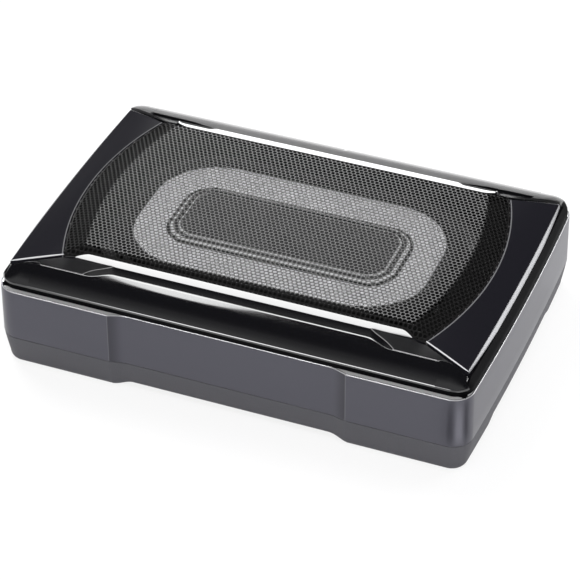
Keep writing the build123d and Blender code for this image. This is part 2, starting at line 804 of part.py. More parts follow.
def fuse_holder():
    """Holder for a blade fuse with two contact slots."""
    body = block(fuse_x - 11.5, fuse_x + 11.5, 64.0, 84.5, 25.0, 36.0)
    body = body + block(fuse_x - 9.0, fuse_x + 9.0, 64.0, 74.0, board_z + board_thickness, 26.0)
    body = body - block(fuse_x - 9.9, fuse_x + 9.9, 76.5, 90.0, 27.5, 33.5)
    for x in (fuse_x - 7.0, fuse_x + 7.0):
        body = body - block(x - 3.0, x + 3.0, 66.0, 80.0, 29.9, 31.1)
    return body


def blade_fuse():
    """Blade fuse: moulded body with a grip and two blades."""
    body = block(fuse_x - 9.5, fuse_x + 9.5, 77.0, 87.0, 28.0, 33.0)
    body = body + block(fuse_x - 8.0, fuse_x + 8.0, 87.0, 89.5, 28.6, 32.4)
    return body - block(fuse_x - 3.0, fuse_x + 3.0, 80.0, 90.0, 31.4, 34.0)


def fuse_blades():
    return [block(x - 2.6, x + 2.6, 67.5, 76.98, 30.15, 30.85) for x in (fuse_x - 7.0, fuse_x + 7.0)]


def pot_body(x):
    """Small rotary control with a bush through the panel."""
    body = block(x - 4.8, x + 4.8, 69.0, 78.9, 36.3, 45.6)
    body = body + rod_y(x, control_z, 3.5, 78.9, 83.0)
    return body - rod_y(x, control_z, 2.1, 71.0, 90.0)


def pot_shaft(x):
    return rod_y(x, control_z, 2.0, 71.3, 88.0)


def control_knob(x):
    """Knob with grip flutes and a pointer groove."""
    body = rod_y(x, control_z, 5.0, 83.4, 91.0)
    body = body - rod_y(x, control_z, 2.03, 80.0, 88.3)
    for k in range(18):
        angle = 2 * pi * k / 18
        flute = rod_y(x + 5.25 * sin(angle), control_z + 5.25 * cos(angle), 0.55, 84.5, 92.0)
        body = body - flute
    return body - block(x - 0.4, x + 0.4, 90.3, 92.0, control_z + 1.0, control_z + 4.2)


def phase_switch_body():
    """Slide switch body fixed behind the panel."""
    body = block(phase_x - 7.0, phase_x + 7.0, 72.0, 78.9, 37.6, 44.4)
    body = body - block(phase_x - 4.9, phase_x + 4.9, 74.0, 77.4, control_z - 2.2, control_z + 2.2)
    return body - block(phase_x - 3.6, phase_x + 3.6, 77.0, 80.0, control_z - 1.6, control_z + 1.6)


def phase_switch_slider():
    """Slider shown at the left end of its travel."""
    x = phase_x - 1.5
    plate = block(x - 3.0, x + 3.0, 74.4, 77.0, control_z - 1.8, control_z + 1.8)
    nub = block(x - 1.6, x + 1.6, 77.0, 83.5, control_z - 1.2, control_z + 1.2)
    for z in (-0.5, 0.5):
        nub = nub - block(x - 2.0, x + 2.0, 83.1, 84.0, control_z + z - 0.15, control_z + z + 0.15)
    return plate + nub


def power_lamp():
    lamp = rod_y(led_x, control_z, 1.5, 76.0, 82.0) + Pos(led_x, 82.0, control_z) * Sphere(1.5)
    return lamp + rod_y(led_x, control_z, 2.0, 76.0, 77.0)


def screw_up(x, y, z_seat, length, r, head_r, head_h):
    """Cross head screw pointing up, its head below z_seat."""
    body = disc(x, y, r, z_seat, z_seat + length) + disc(x, y, head_r, z_seat - head_h, z_seat)
    low, high = z_seat - head_h - 1, z_seat - head_h * 0.4
    reach = head_r * 0.6
    cross = block(x - reach, x + reach, y - 0.4, y + 0.4, low, high)
    return body - cross - block(x - 0.4, x + 0.4, y - reach, y + reach, low, high)


def screw_down(x, y, z_seat, length, r, head_r, head_h):
    """Cross head screw pointing down, its head above z_seat."""
    body = disc(x, y, r, z_seat - length, z_seat) + disc(x, y, head_r, z_seat, z_seat + head_h)
    high = z_seat + head_h
    body = body - block(x - head_r * 0.6, x + head_r * 0.6, y - 0.4, y + 0.4, high - head_h * 0.6, high + 1)
    return body - block(x - 0.4, x + 0.4, y - head_r * 0.6, y + head_r * 0.6, high - head_h * 0.6, high + 1)


def screw_rear(x, z, y_seat, length, r, head_r, head_h):
    """Screw pointing to the rear, its head in front of y_seat."""
    body = rod_y(x, z, r, y_seat, y_seat + length) + rod_y(x, z, head_r, y_seat - head_h, y_seat)
    return body - block(x - head_r * 0.6, x + head_r * 0.6, y_seat - head_h - 1,
                        y_seat - head_h * 0.4, z - 0.35, z + 0.35)


def base_screws():
    return [screw_up(x, y, 6.0, 23.0, m3_radius, 3.0, 2.4) for x, y in base_screw_places()]


def frame_screws():
    seat = deck_top_z - deck_thickness
    return [screw_up(x, y, seat, 8.5, m3_radius, 3.0, 2.0) for x, y in frame_screw_places()]


def woofer_screws():
    return [screw_down(x, y, flange_z + 1.5, 8.0, m4_radius, 3.4, 1.6) for x, y in woofer_screw_places()]


def board_screws():
    seat = board_z + board_thickness
    return [screw_down(x, y, seat, 8.0, m3_radius, 2.8, 2.0) for x, y in board_screw_places()]


def panel_screws():
    seat = panel_y - panel_thickness
    return [screw_rear(x, z, seat, 7.5, 1.25, 2.5, 1.8) for x, z in panel_screw_places()]


def transistor_screws():
    return [screw_rear(x, 36.5, 83.7, 4.0, 1.25, 2.3, 1.6) for x in transistor_places()]


def shell_parts():
    cap = side_cap()
    return {
        "main_housing": main_housing(), "base_cover": base_cover(), "bracket_inserts": bracket_inserts(),
        "top_frame": top_frame(), "side_cap_right": cap, "side_cap_left": mirror(cap, about=Plane.YZ),
        "grille": grille(), "grille_gasket": grille_gasket(),
    }


def woofer_parts():
    return {
        "woofer_gasket": woofer_gasket(), "woofer_basket": woofer_basket(), "surround": surround(),
        "cone": cone(), "centre_cap": centre_cap(), "voice_coil_former": voice_coil_former(),
        "voice_coil": voice_coil(), "spider": spider(), "top_plate": top_plate(), "magnet": magnet(),
        "yoke": yoke(), "woofer_terminals": woofer_terminals(), "speaker_wires": speaker_wires(),
    }


def amplifier_parts():
    return {
        "circuit_board": circuit_board(), "board_standoffs": board_standoffs(), "heat_sink": heat_sink(),
        "power_transistors": power_transistors(), "toroid_core": toroid_core(),
        "toroid_winding": toroid_winding(), "capacitors": capacitors(), "driver_chips": driver_chips(),
    }


def panel_parts():
    left, right = rca_places
    return {
        "terminal_panel": terminal_panel(), "rca_block": rca_block(), "rca_shell_left": rca_shell(left),
        "rca_shell_right": rca_shell(right), "rca_insulator_left": rca_insulator(left),
        "rca_insulator_right": rca_insulator(right), "rca_contacts": rca_contacts(),
        "speaker_socket": socket_body(speaker_socket_x),
        "speaker_pins": socket_pins(speaker_socket_x, 4, 2.2),
        "power_socket": socket_body(power_socket_x),
        "power_pins": socket_pins(power_socket_x, 3, 3.2),
        "fuse_holder": fuse_holder(), "fuse_body": blade_fuse(), "fuse_blades": fuse_blades(),
        "level_pot": pot_body(level_x), "level_shaft": pot_shaft(level_x),
        "level_knob": control_knob(level_x),
        "lowpass_pot": pot_body(lowpass_x), "lowpass_shaft": pot_shaft(lowpass_x),
        "lowpass_knob": control_knob(lowpass_x), "phase_switch_body": phase_switch_body(),
        "phase_switch_slider": phase_switch_slider(), "power_lamp": power_lamp(),
    }


def fixings():
    return {
        "base_screws": base_screws(), "frame_screws": frame_screws(), "woofer_screws": woofer_screws(),
        "board_screws": board_screws(), "panel_screws": panel_screws(),
        "transistor_screws": transistor_screws(),
    }


if __name__ == "__main__":
    for group in (shell_parts(), woofer_parts(), amplifier_parts(), panel_parts(), fixings()):
        for name, shape in group.items():
            save(name, shape)
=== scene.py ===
import json
import bmesh
import bpy
import numpy as np
from mathutils import Matrix, Vector


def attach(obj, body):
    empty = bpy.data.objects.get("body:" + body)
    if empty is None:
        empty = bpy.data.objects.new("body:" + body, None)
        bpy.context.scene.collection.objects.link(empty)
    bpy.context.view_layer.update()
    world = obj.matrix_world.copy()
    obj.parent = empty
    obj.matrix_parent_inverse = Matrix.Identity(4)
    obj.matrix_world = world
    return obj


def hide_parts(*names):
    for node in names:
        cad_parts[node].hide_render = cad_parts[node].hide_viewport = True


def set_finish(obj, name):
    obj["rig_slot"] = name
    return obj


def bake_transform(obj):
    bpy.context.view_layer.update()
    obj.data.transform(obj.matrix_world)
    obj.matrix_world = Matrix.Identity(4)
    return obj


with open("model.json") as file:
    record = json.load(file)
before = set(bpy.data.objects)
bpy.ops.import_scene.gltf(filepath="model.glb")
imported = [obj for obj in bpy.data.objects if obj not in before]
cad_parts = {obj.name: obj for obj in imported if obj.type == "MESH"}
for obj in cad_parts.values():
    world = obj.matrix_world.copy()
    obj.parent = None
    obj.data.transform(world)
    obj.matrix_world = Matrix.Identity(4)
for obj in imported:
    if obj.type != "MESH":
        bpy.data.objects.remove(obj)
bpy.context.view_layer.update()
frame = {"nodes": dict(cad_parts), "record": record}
print("stage: frame loaded")

mm = 0.001

# mesh helpers


def addObject(name, data):
    item = bpy.data.objects.new(name, data)
    bpy.context.scene.collection.objects.link(item)
    return item


def makePiece(name, points, faces, body="case", smoothAngle=32.0):
    # points is (n, 3) in mm, faces an array or a list of point numbers; the piece rides on body, if given
    mesh = bpy.data.meshes.new(name)
    mesh.from_pydata((points * mm).tolist(), [], faces.tolist() if isinstance(faces, np.ndarray) else faces)
    mergeDoubles(mesh)
    mesh.polygons.foreach_set("use_smooth", np.ones(len(mesh.polygons), bool))
    mesh.set_sharp_from_angle(angle=np.radians(smoothAngle))
    piece = addObject(name, mesh)
    if body:
        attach(piece, body)
    return piece


def faceVectors(mesh, kind):
    # x, y and z of every face's centre or normal
    values = np.zeros(len(mesh.polygons) * 3)
    mesh.polygons.foreach_get(kind, values)
    return values.reshape(-1, 3).T


def mergeDoubles(mesh, distance=2e-6):
    work = bmesh.new()
    work.from_mesh(mesh)
    bmesh.ops.remove_doubles(work, verts=work.verts, dist=distance)
    bmesh.ops.dissolve_degenerate(work, edges=work.edges, dist=distance / 2)
    bmesh.ops.recalc_face_normals(work, faces=work.faces)
    work.to_mesh(mesh)
    work.free()


def gridFaces(rows, columns, closeColumns=False, closeRows=False, offset=0):
    # quads between neighbouring rows and columns of a grid numbered row by row
    lastColumn = columns if closeColumns else columns - 1
    lastRow = rows if closeRows else rows - 1
    r, c = np.meshgrid(np.arange(lastRow), np.arange(lastColumn), indexing="ij")
    r2, c2 = (r + 1) % rows, (c + 1) % columns
    quads = np.stack([r * columns + c, r * columns + c2, r2 * columns + c2, r2 * columns + c], -1)
    return quads.reshape(-1, 4) + offset


def joinGrids(grids):
    # grids is a list of (array rows x columns x 3, closeColumns, closeRows)
    points, faces, offset = [], [], 0
    for grid, closeColumns, closeRows in grids:
        rows, columns = grid.shape[:2]
        points.append(grid.reshape(-1, 3))
        faces.append(gridFaces(rows, columns, closeColumns, closeRows, offset))
        offset += rows * columns
    return np.concatenate(points), np.concatenate(faces)


def markRims(mesh):
    # an edge with one face only is made sharp, so that a thickened sheet keeps its flat top
    edgeOf = np.zeros(len(mesh.loops), int)
    mesh.loops.foreach_get("edge_index", edgeOf)
    sharp = np.zeros(len(mesh.edges), bool)
    mesh.edges.foreach_get("use_edge_sharp", sharp)
    mesh.edges.foreach_set("use_edge_sharp", sharp | (np.bincount(edgeOf, minlength=len(mesh.edges)) == 1))


def addBevel(piece, width, segments, angle):
    bevel = piece.modifiers.new("edge", "BEVEL")
    bevel.width = width * mm
    bevel.segments = segments
    bevel.limit_method = "ANGLE"
    bevel.angle_limit = np.radians(angle)
    bevel.use_clamp_overlap = True
    bevel.harden_normals = False


# casing plan

casing = {
    "halfWidth": 140.0, "halfDepth": 95.0, "bow": 2.2, "corner": 12.0,
    "recessHalf": 61.5, "creaseHalf": 69.5, "softness": 4.2,
    "partingZ": 18.8, "topZ": 50.9, "deckHole": (98.1, 60.0, 47.5), "deckThick": 3.0,
}


def recessShape(x):
    # 1 in the set back middle, 0 from the crease outwards, straight between with a soft inner foot
    a, b, soft = casing["recessHalf"], casing["creaseHalf"], casing["softness"]
    t = (b - np.abs(x)) / (b - a)
    k = soft / (b - a)
    rounded = 1 - k / 2 * np.log1p(np.exp(np.clip(-(t - 1) * 2 / k * 1.6, -50, 50))) / 1.6
    return np.clip(np.where(t <= 0, 0, rounded), 0, 1) * (t > 0)


def casePlan(halfWidth, halfDepth, corner):
    # radius of the bowed side, centre of the corner arc that touches it, and half the side's opening angle
    bow = casing["bow"]
    bowRadius = (halfDepth ** 2 + bow ** 2) / (2 * bow)
    cy = halfDepth - corner
    cx = halfWidth - bowRadius + np.sqrt((bowRadius - corner) ** 2 - cy ** 2)
    return bowRadius, cx, cy, np.arcsin(cy / (bowRadius - corner))


def atHeight(x, y, z):
    return np.column_stack([x, y, np.full(len(x), z)])


def casingRing(inset, z, recess):
    # front run, corner arc and bowed side of one quarter, mirrored to a whole ring
    c = casing
    halfWidth, halfDepth, radius = c["halfWidth"], c["halfDepth"], c["corner"]
    bowRadius, cx, cy, turn = casePlan(halfWidth, halfDepth, radius)
    a, b = c["recessHalf"], c["creaseHalf"]
    xs = np.concatenate([np.linspace(0, a - 8, 12), np.linspace(a - 7, b - 0.3, 26), [b],
                         np.linspace(b + 1.2, cx, 14)])
    ys = -(halfDepth - inset) + recess * recessShape(xs)
    arc = np.linspace(-np.pi / 2, -turn, 22)[1:]
    ax = cx + (radius - inset) * np.cos(arc)
    ay = -cy + (radius - inset) * np.sin(arc)
    sideY = np.linspace(ay[-1], 0, 26)[1:]
    sideX = halfWidth - bowRadius + np.sqrt((bowRadius - inset) ** 2 - sideY ** 2)
    quarter = np.stack([np.concatenate([xs, ax, sideX]), np.concatenate([ys, ay, sideY])], -1)
    half = np.concatenate([quarter, quarter[::-1][1:] * [1, -1]])
    ring = np.concatenate([half, half[::-1][1:-1] * [-1, 1]])
    return atHeight(*ring.T, z)


def roundedRing(a, b, r, z, like):
    # point of a rounded rectangle in the direction of each point of the ring it goes with
    angle = np.arctan2(like[:, 1] / b, like[:, 0] / a)
    dx, dy = a * np.cos(angle), b * np.sin(angle)
    low, high = np.zeros(len(dx)), np.full(len(dx), 2.0)
    for _ in range(40):
        mid = (low + high) / 2
        qx, qy = np.abs(dx * mid) - (a - r), np.abs(dy * mid) - (b - r)
        outside = np.hypot(np.maximum(qx, 0), np.maximum(qy, 0)) + np.minimum(np.maximum(qx, qy), 0) - r
        low, high = np.where(outside < 0, mid, low), np.where(outside < 0, high, mid)
    return atHeight(dx * low, dy * low, z)


# housing

housing = {
    "grooveAt": 0.75, "grooveWidth": 0.5, "grooveDepth": 1.1,
    "wallInset": 5.5, "wellHalf": 55.0, "wellLow": 24.0, "wellHigh": 46.5, "wellFloorY": 81.0,
}


def housingShell():
    # rings of the casing plan carried up the wall, over the rim, across the deck and back inside
    h, z0, z1 = housing, casing["partingZ"], casing["topZ"]
    rec = lambda z: 2.0 + (z - z0) / (z1 - z0)
    rows = [(0.5, z0), (0.22, z0 + 0.08), (0.05, z0 + 0.3), (0.0, z0 + 0.7)]
    rows += [(0.3 * t, z0 + 0.7 + (z1 - z0 - 1.5) * t) for t in (0.25, 0.5, 0.75, 1.0)]
    rows += [(0.33, z1 - 0.42), (0.42, z1 - 0.2), (0.56, z1 - 0.05), (0.72, z1)]
    g, w, d = h["grooveAt"], h["grooveWidth"], h["grooveDepth"]
    rows += [(g, z1), (g + 0.02, z1 - d), (g + w, z1 - d), (g + w + 0.02, z1), (3.4, z1)]
    rings = [casingRing(inset, z, rec(min(max(z, z0), z1))) for inset, z in rows]
    like = rings[0]
    under = z1 - casing["deckThick"]
    rings += [roundedRing(*casing["deckHole"], z, like) for z in (z1, under)]
    rings += [casingRing(h["wallInset"], z, 0.0) for z in (under, z0)]
    points, faces = joinGrids([(np.array(rings), True, True)])
    piece = makePiece("housingShell", points, faces, smoothAngle=12.0)
    half = h["wellHalf"]
    applyCut(piece, boxCutter("wellCutter", (-half, 70, h["wellLow"]), (half, 110, h["wellHigh"])))
    return piece


def boxCutter(name, low, high):
    low, high = np.array(low), np.array(high)
    corner = np.array([[i, j, k] for i in (0, 1) for j in (0, 1) for k in (0, 1)])
    points = low + (high - low) * corner
    faces = np.array([[0, 1, 3, 2], [4, 6, 7, 5], [0, 4, 5, 1], [2, 3, 7, 6], [0, 2, 6, 4], [1, 5, 7, 3]])
    return makePiece(name, points.astype(float), faces)


def roundCutter(name, places, radius, z0, z1, sides=48):
    # several upright cylinders in one mesh: ring at the foot, ring at the top and two end faces each
    work = bmesh.new()
    for x, y in places:
        made = bmesh.ops.create_cone(work, cap_ends=True, segments=sides, radius1=radius * mm,
                                     radius2=radius * mm, depth=(z1 - z0) * mm)
        bmesh.ops.translate(work, verts=made["verts"], vec=(x * mm, y * mm, (z0 + z1) / 2 * mm))
    mesh = bpy.data.meshes.new(name)
    work.to_mesh(mesh)
    work.free()
    return addObject(name, mesh)


def applyCut(piece, cutter):
    cut = piece.modifiers.new("cut", "BOOLEAN")
    cut.object = cutter
    cut.solver = "EXACT"
    bpy.context.view_layer.update()
    graph = bpy.context.evaluated_depsgraph_get()
    result = bpy.data.meshes.new_from_object(piece.evaluated_get(graph))
    piece.modifiers.clear()
    piece.data = result
    bpy.data.objects.remove(cutter)


def wellLiner():
    # rectangular tube in the rear wall: outer and inner rectangle at its mouth and at its bottom
    h = housing
    def ring(grow, y):
        a, z0, z1 = h["wellHalf"] + grow, h["wellLow"] - grow * 0.35, h["wellHigh"] + min(grow, 1.4)
        return np.array([[-a, y, z0], [a, y, z0], [a, y, z1], [-a, y, z1]])
    rings = np.array([ring(0, 92.25), ring(0, h["wellFloorY"]), ring(5.8, h["wellFloorY"]), ring(5.8, 89.4)])
    points, faces = joinGrids([(rings, True, True)])
    return makePiece("wellLiner", points, faces)


# base

base = {"floorZ": 5.2, "raise": 2.7, "screwRadius": 3.3, "insertRadius": 3.65}


def smooth(t):
    t = np.clip(t, 0, 1)
    return t * t * (3 - 2 * t)


def undersideZ(x, y):
    # pads at the four corners; the stretches between them are raised with soft slopes
    side = np.maximum(smooth((58.0 - y) / 8.0) * smooth((y + 50.0) / 7.0), 0)
    front = smooth((69.0 - np.abs(x)) / 11.0)
    return base["raise"] * np.maximum(front, side)


def baseShell():
    # wall rings from the parting line down round the bottom edge, then the underside to a pole
    z1 = casing["partingZ"] - 0.12
    rows = [(0.75, z1), (0.35, z1 - 0.05), (0.22, z1 - 0.3)]
    drop = [(0.25 + 2.35 * t ** 1.2, z1 - 0.3 - (z1 - 4.6) * t) for t in np.linspace(0.1, 1, 9)]
    rows += drop
    rows += [(2.6 + 2.6 * (1 - np.cos(a)), 4.3 - 4.3 * np.sin(a)) for a in np.linspace(0.25, 1.5708, 6)]
    rings = []
    for inset, z in rows:
        ring = casingRing(inset, z, 2.0 - 0.15 * (z1 - z) / z1)
        lift = undersideZ(ring[:, 0], ring[:, 1]) * np.clip((9.0 - z) / 9.0, 0, 1)
        ring[:, 2] = np.where(z < 9, z + lift, z)
        rings.append(ring)
    last = rings[-1]
    for s in np.linspace(0.985, 0.0, 44):
        ring = last * [s, s, 0]
        ring[:, 2] = undersideZ(ring[:, 0], ring[:, 1])
        rings.append(ring)
    inside = [casingRing(6.2, z1, 0.0), casingRing(6.2, base["floorZ"], 0.0)]
    floor = inside[-1] * [0.0001, 0.0001, 1]
    rings = [floor, inside[1], inside[0]] + rings
    points, faces = joinGrids([(np.array(rings), True, False)])
    piece = makePiece("baseShell", points, faces, smoothAngle=12.0)
    corners = [(x, y) for x in (-122.0, 122.0) for y in (-80.0, 80.0)]
    screws = corners + [(-127.0, 0.0), (127.0, 0.0), (-76.0, -82.0), (76.0, -82.0)]
    applyCut(piece, roundCutter("screwCutter", screws, base["screwRadius"], -2, 8))
    inserts = [(x, y) for x in (-112.0, 112.0) for y in (-70.0, 70.0)]
    applyCut(piece, roundCutter("insertCutter", inserts, base["insertRadius"], -2, 8))
    return piece


# top frame

topFrame = {
    "halfWidth": 139.1, "halfDepth": 92.2, "corner": 11.0, "footZ": 50.9, "revealInset": 0.7, "revealZ": 54.0,
    "crestInY": 66.6, "crestOutY": 71.9, "crestOutZ": 66.5, "bandSlope": 1.24,
    "tipX": 99.3, "tipY": 71.4, "straightX": 91.0, "bandEndX": 73.5, "stepEndX": 89.0, "hookX": 115.0,
    "diagonalFrom": 75.0, "diagonalTo": 91.0, "lineInY": 74.4, "lineOutY": 78.9, "railEndX": 118.5,
    "capInX": 105.7, "capInY": 70.5, "capOutX": 132.9, "capOutY": 81.6, "rearShort": 3.0, "capGap": 1.3,
    "edgeRadius": 0.7, "lipFlat": 1.25, "lipSlope": 0.1, "crestRadius": 0.8, "arcSteps": 4,
    # distance in from the outer face, and height there
    "fascia": [(0.35, 55.9), (4.0, 57.85), (8.8, 60.15), (13.3, 61.95), (17.8, 63.4), (25.6, 65.2)],
    "rim": [(0.0, 56.2), (0.35, 57.0), (0.8, 57.7), (2.2, 59.0), (7.2, 61.6), (13.3, 63.9), (20.3, 66.3)],
}
fasciaCurve = np.polyfit(*np.array(topFrame["fascia"]).T, 4)


def fasciaZ(d):
    # height of the front fascia: a fourth power curve, steepest at the front, over a short upright foot
    foot = 55.15 + 0.75 * np.clip(d, 0, 1) / 0.35
    return np.where(d < 0.35, foot, np.polyval(fasciaCurve, np.maximum(d, 0.35)))


def rimZ(d):
    # height of the rear rim, straight between its given points
    return np.interp(d, *np.array(topFrame["rim"]).T)


def roundProfile(points, radii):
    # each control point becomes a small arc between its two neighbours, cut short where they are close
    steps = topFrame["arcSteps"]
    spots = [np.stack(np.broadcast_arrays(*p), -1).astype(float) for p in points]
    rows = [spots[0]]
    for i, here in enumerate(spots[1:-1], 1):
        ends = []
        for other in (spots[i - 1], spots[i + 1]):
            away = other - here
            length = np.linalg.norm(away, axis=-1, keepdims=True)
            reach = np.minimum(np.broadcast_to(radii[i], length.shape[:-1])[..., None], length * 0.46)
            ends.append(here + away * reach / np.maximum(length, 1e-9))
        for t in np.linspace(0, 1, steps + 1):
            rows.append(ends[0] * (1 - t) ** 2 + here * 2 * t * (1 - t) + ends[1] * t ** 2)
    rows.append(spots[-1])
    return np.stack(rows)


def capEndY(x, direction):
    # straight end line of a side cap; the one at the rear lies a little nearer the middle
    f = topFrame
    away = f["capInY"] - f["rearShort"] * (direction > 0)
    return away + (x - f["capInX"]) * (f["capOutY"] - f["capInY"]) / (f["capOutX"] - f["capInX"])


def crestInner(x, direction):
    # inner edge of the crest rail: straight, then swept out to the tip
    f = topFrame
    t = np.clip((x - f["straightX"]) / (f["tipX"] - f["straightX"]), 0, 1)
    tip = f["tipY"] - 1.8 * (direction > 0)
    return f["crestInY"] + (tip - f["crestInY"]) * t ** 1.7


def railBound(x, direction):
    # inner limit of the rail's top: the crest's outer line, then the side cap's end less a gap
    f = topFrame
    beside = np.maximum(capEndY(x, direction) + f["capGap"], f["crestOutY"] - 0.9 - 2.0 * (direction > 0))
    return np.where(x < f["tipX"], f["crestOutY"], beside)


def railInner(x, bound, boundZ, direction):
    # inner edge of the rail and its height: the crest's, then a little inside and below the inner limit
    f, onCrest = topFrame, x < topFrame["tipX"]
    inner = np.where(onCrest, crestInner(x, direction), bound - 0.1)
    return inner, np.where(onCrest, f["crestOutZ"] + 0.8 * (bound - inner) / 5.3, boundZ - 0.5)


def outerFoot(top, edgeRadius):
    # control points from the foot: set back reveal, upright band, rounded shoulder; d is measured inwards
    f = topFrame
    inset, z = f["revealInset"], f["revealZ"]
    points = [(inset, f["footZ"]), (inset, z), (0.0, z + 0.2), (0.0, top(0.0)), (0.35, top(0.35))]
    return points, [0, 0.1, 0.15, edgeRadius * 0.25, edgeRadius * 0.4]


def railGrid(xs, points, radii, direction):
    # rounded profile at every x of the right half, and its mirror image on the left
    rows = roundProfile(points, radii)
    right = np.stack([np.broadcast_to(xs, rows.shape[:2]), direction * rows[..., 0], rows[..., 1]], -1)
    return np.concatenate([right[:, ::-1][:, :-1] * [-1, 1, 1], right], axis=1)


def frontRail():
    # profile of rounded control points carried along X; columns crowd where the lines bend
    f = topFrame
    xs = np.concatenate([np.linspace(0, 70, 36), [71.5, f["bandEndX"]], np.linspace(74.2, f["stepEndX"], 20),
                         np.linspace(90, f["tipX"], 14), np.linspace(100.5, f["railEndX"], 22)])
    bound, depth = railBound(xs, -1), f["halfDepth"]
    t = smooth((xs - f["bandEndX"]) / (f["stepEndX"] - f["bandEndX"]))
    line = f["lineInY"] + (f["lineOutY"] - f["lineInY"]) * t
    hook = smooth((xs - f["hookX"]) / (f["railEndX"] - f["hookX"])) ** 1.5
    line = line + (bound + 0.4 - line) * hook
    lineZ = fasciaZ(depth - line)
    ends = [f["crestOutY"]] * 2 + [f["lineOutY"]] * 2
    mid = np.interp(xs, [0, f["diagonalFrom"], f["diagonalTo"], 130], ends)
    mid = np.clip(mid, bound, np.maximum(line - 0.35, bound))
    midZ = np.minimum(lineZ - 0.3 + (line - mid) * f["bandSlope"], f["crestOutZ"])
    boundZ = np.interp(xs, [0, 75, f["tipX"], f["capInX"], f["railEndX"]], [66.5, 66.5, 66.4, 64.7, 62.95])
    midZ = np.where(xs < f["diagonalFrom"], f["crestOutZ"] - 0.02, midZ)
    inner, innerZ = railInner(xs, bound, boundZ, -1)
    points, radii = outerFoot(fasciaZ, f["edgeRadius"])
    points = [(depth - d, np.full(len(xs), z)) for d, z in points]
    # the lip is a nearly flat strip along the line; it narrows where the line steps out
    flat = (f["lipFlat"] - 0.8 * t) * (1 - 0.7 * hook)
    lipOut = line + flat
    lipOutZ = fasciaZ(depth - lipOut)
    lipInZ = lipOutZ + (flat - 0.1) * f["lipSlope"]
    for share in (0.0, 0.18, 0.36, 0.52, 0.66, 0.78, 0.9):
        y = depth - 3.0 + (lipOut - depth + 3.0) * share
        points.append((y, fasciaZ(depth - y)))
    points += [(lipOut, lipOutZ), (line + 0.1, lipInZ), (line - 0.12, lipInZ - 0.3),
               (np.minimum(mid, line - 0.2), midZ), (bound, boundZ), (inner, innerZ),
               (inner - 0.3, innerZ - 2.6)]
    radii += [1.0] * 7 + [0.3, 0.25, 0.2, 0.35, 0.5, f["crestRadius"], 0]
    return railGrid(xs, points, radii, -1)


rearRim = {"slotFrom": 76.0, "slotWide": 92.0, "slotTo": 117.0, "slotDepth": 1.6,
           "slotOut": [72.5, 72.5, 76.5, 77.5, 77.5], "notchHalf": 1.6, "notchDepth": 1.0}


def rearRail():
    # as the front rail with a plain crowned rim, a notch in the middle and a slot at each end
    f, r = topFrame, rearRim
    xs = np.concatenate([[0, 0.4, 0.8, 1.2, 1.6, 2.0], np.linspace(5, 75, 30), np.linspace(76, 92, 14),
                         np.linspace(93, f["tipX"], 8), np.linspace(100.5, f["railEndX"], 22)])
    bound, depth = railBound(xs, 1), f["halfDepth"]
    slotOut = np.interp(xs, [0, r["slotFrom"], r["slotWide"], r["slotTo"], 130], r["slotOut"])
    slotOut = np.maximum(slotOut, bound + 0.2)
    width = np.clip((slotOut - np.maximum(bound, 72.2) - 0.3) / 1.2, 0, 1)
    dip = r["slotDepth"] * width * (xs > r["slotFrom"]) * smooth((f["railEndX"] - xs) / 2.0)
    notch = r["notchDepth"] * np.clip(1 - xs / r["notchHalf"], 0, 1)
    outZ = np.where(xs < f["tipX"], f["crestOutZ"], rimZ(depth - bound) - 0.1)
    slotZ = np.minimum(rimZ(depth - slotOut), 66.45)
    inner, innerZ = railInner(xs, bound, outZ, 1)
    points, radii = outerFoot(rimZ, 0.9)
    points = [(depth - notch - d, z) for d, z in points]
    top = np.maximum(depth - 13.3, slotOut + 0.8)
    points += [(depth - 2.2 - notch * 0.9, rimZ(2.2)), (depth - 7.2 + 0 * xs, rimZ(7.2)),
               (top, rimZ(depth - top)),
               (slotOut + 0.1, slotZ), (slotOut, slotZ - 0.05 - dip),
               (bound + np.where(dip > 0, 0.12, 0.3), outZ - 0.04 - dip), (bound, outZ), (inner, innerZ),
               (inner - 0.3, innerZ - 2.6)]
    radii += [1.2, 3.0, 2.0, 0.25, 0.1, 0.1, 0.3, f["crestRadius"], 0]
    return railGrid(xs, points, radii, 1)


def skirtProfile():
    # inset from the side's bowed face and height, from the foot to the shelf that runs under the cap
    return [(0.25, 50.9), (0.25, 51.4), (0.0, 51.7), (0.3, 54.4), (2.55, 58.05), (3.1, 58.4), (6.0, 58.5)]


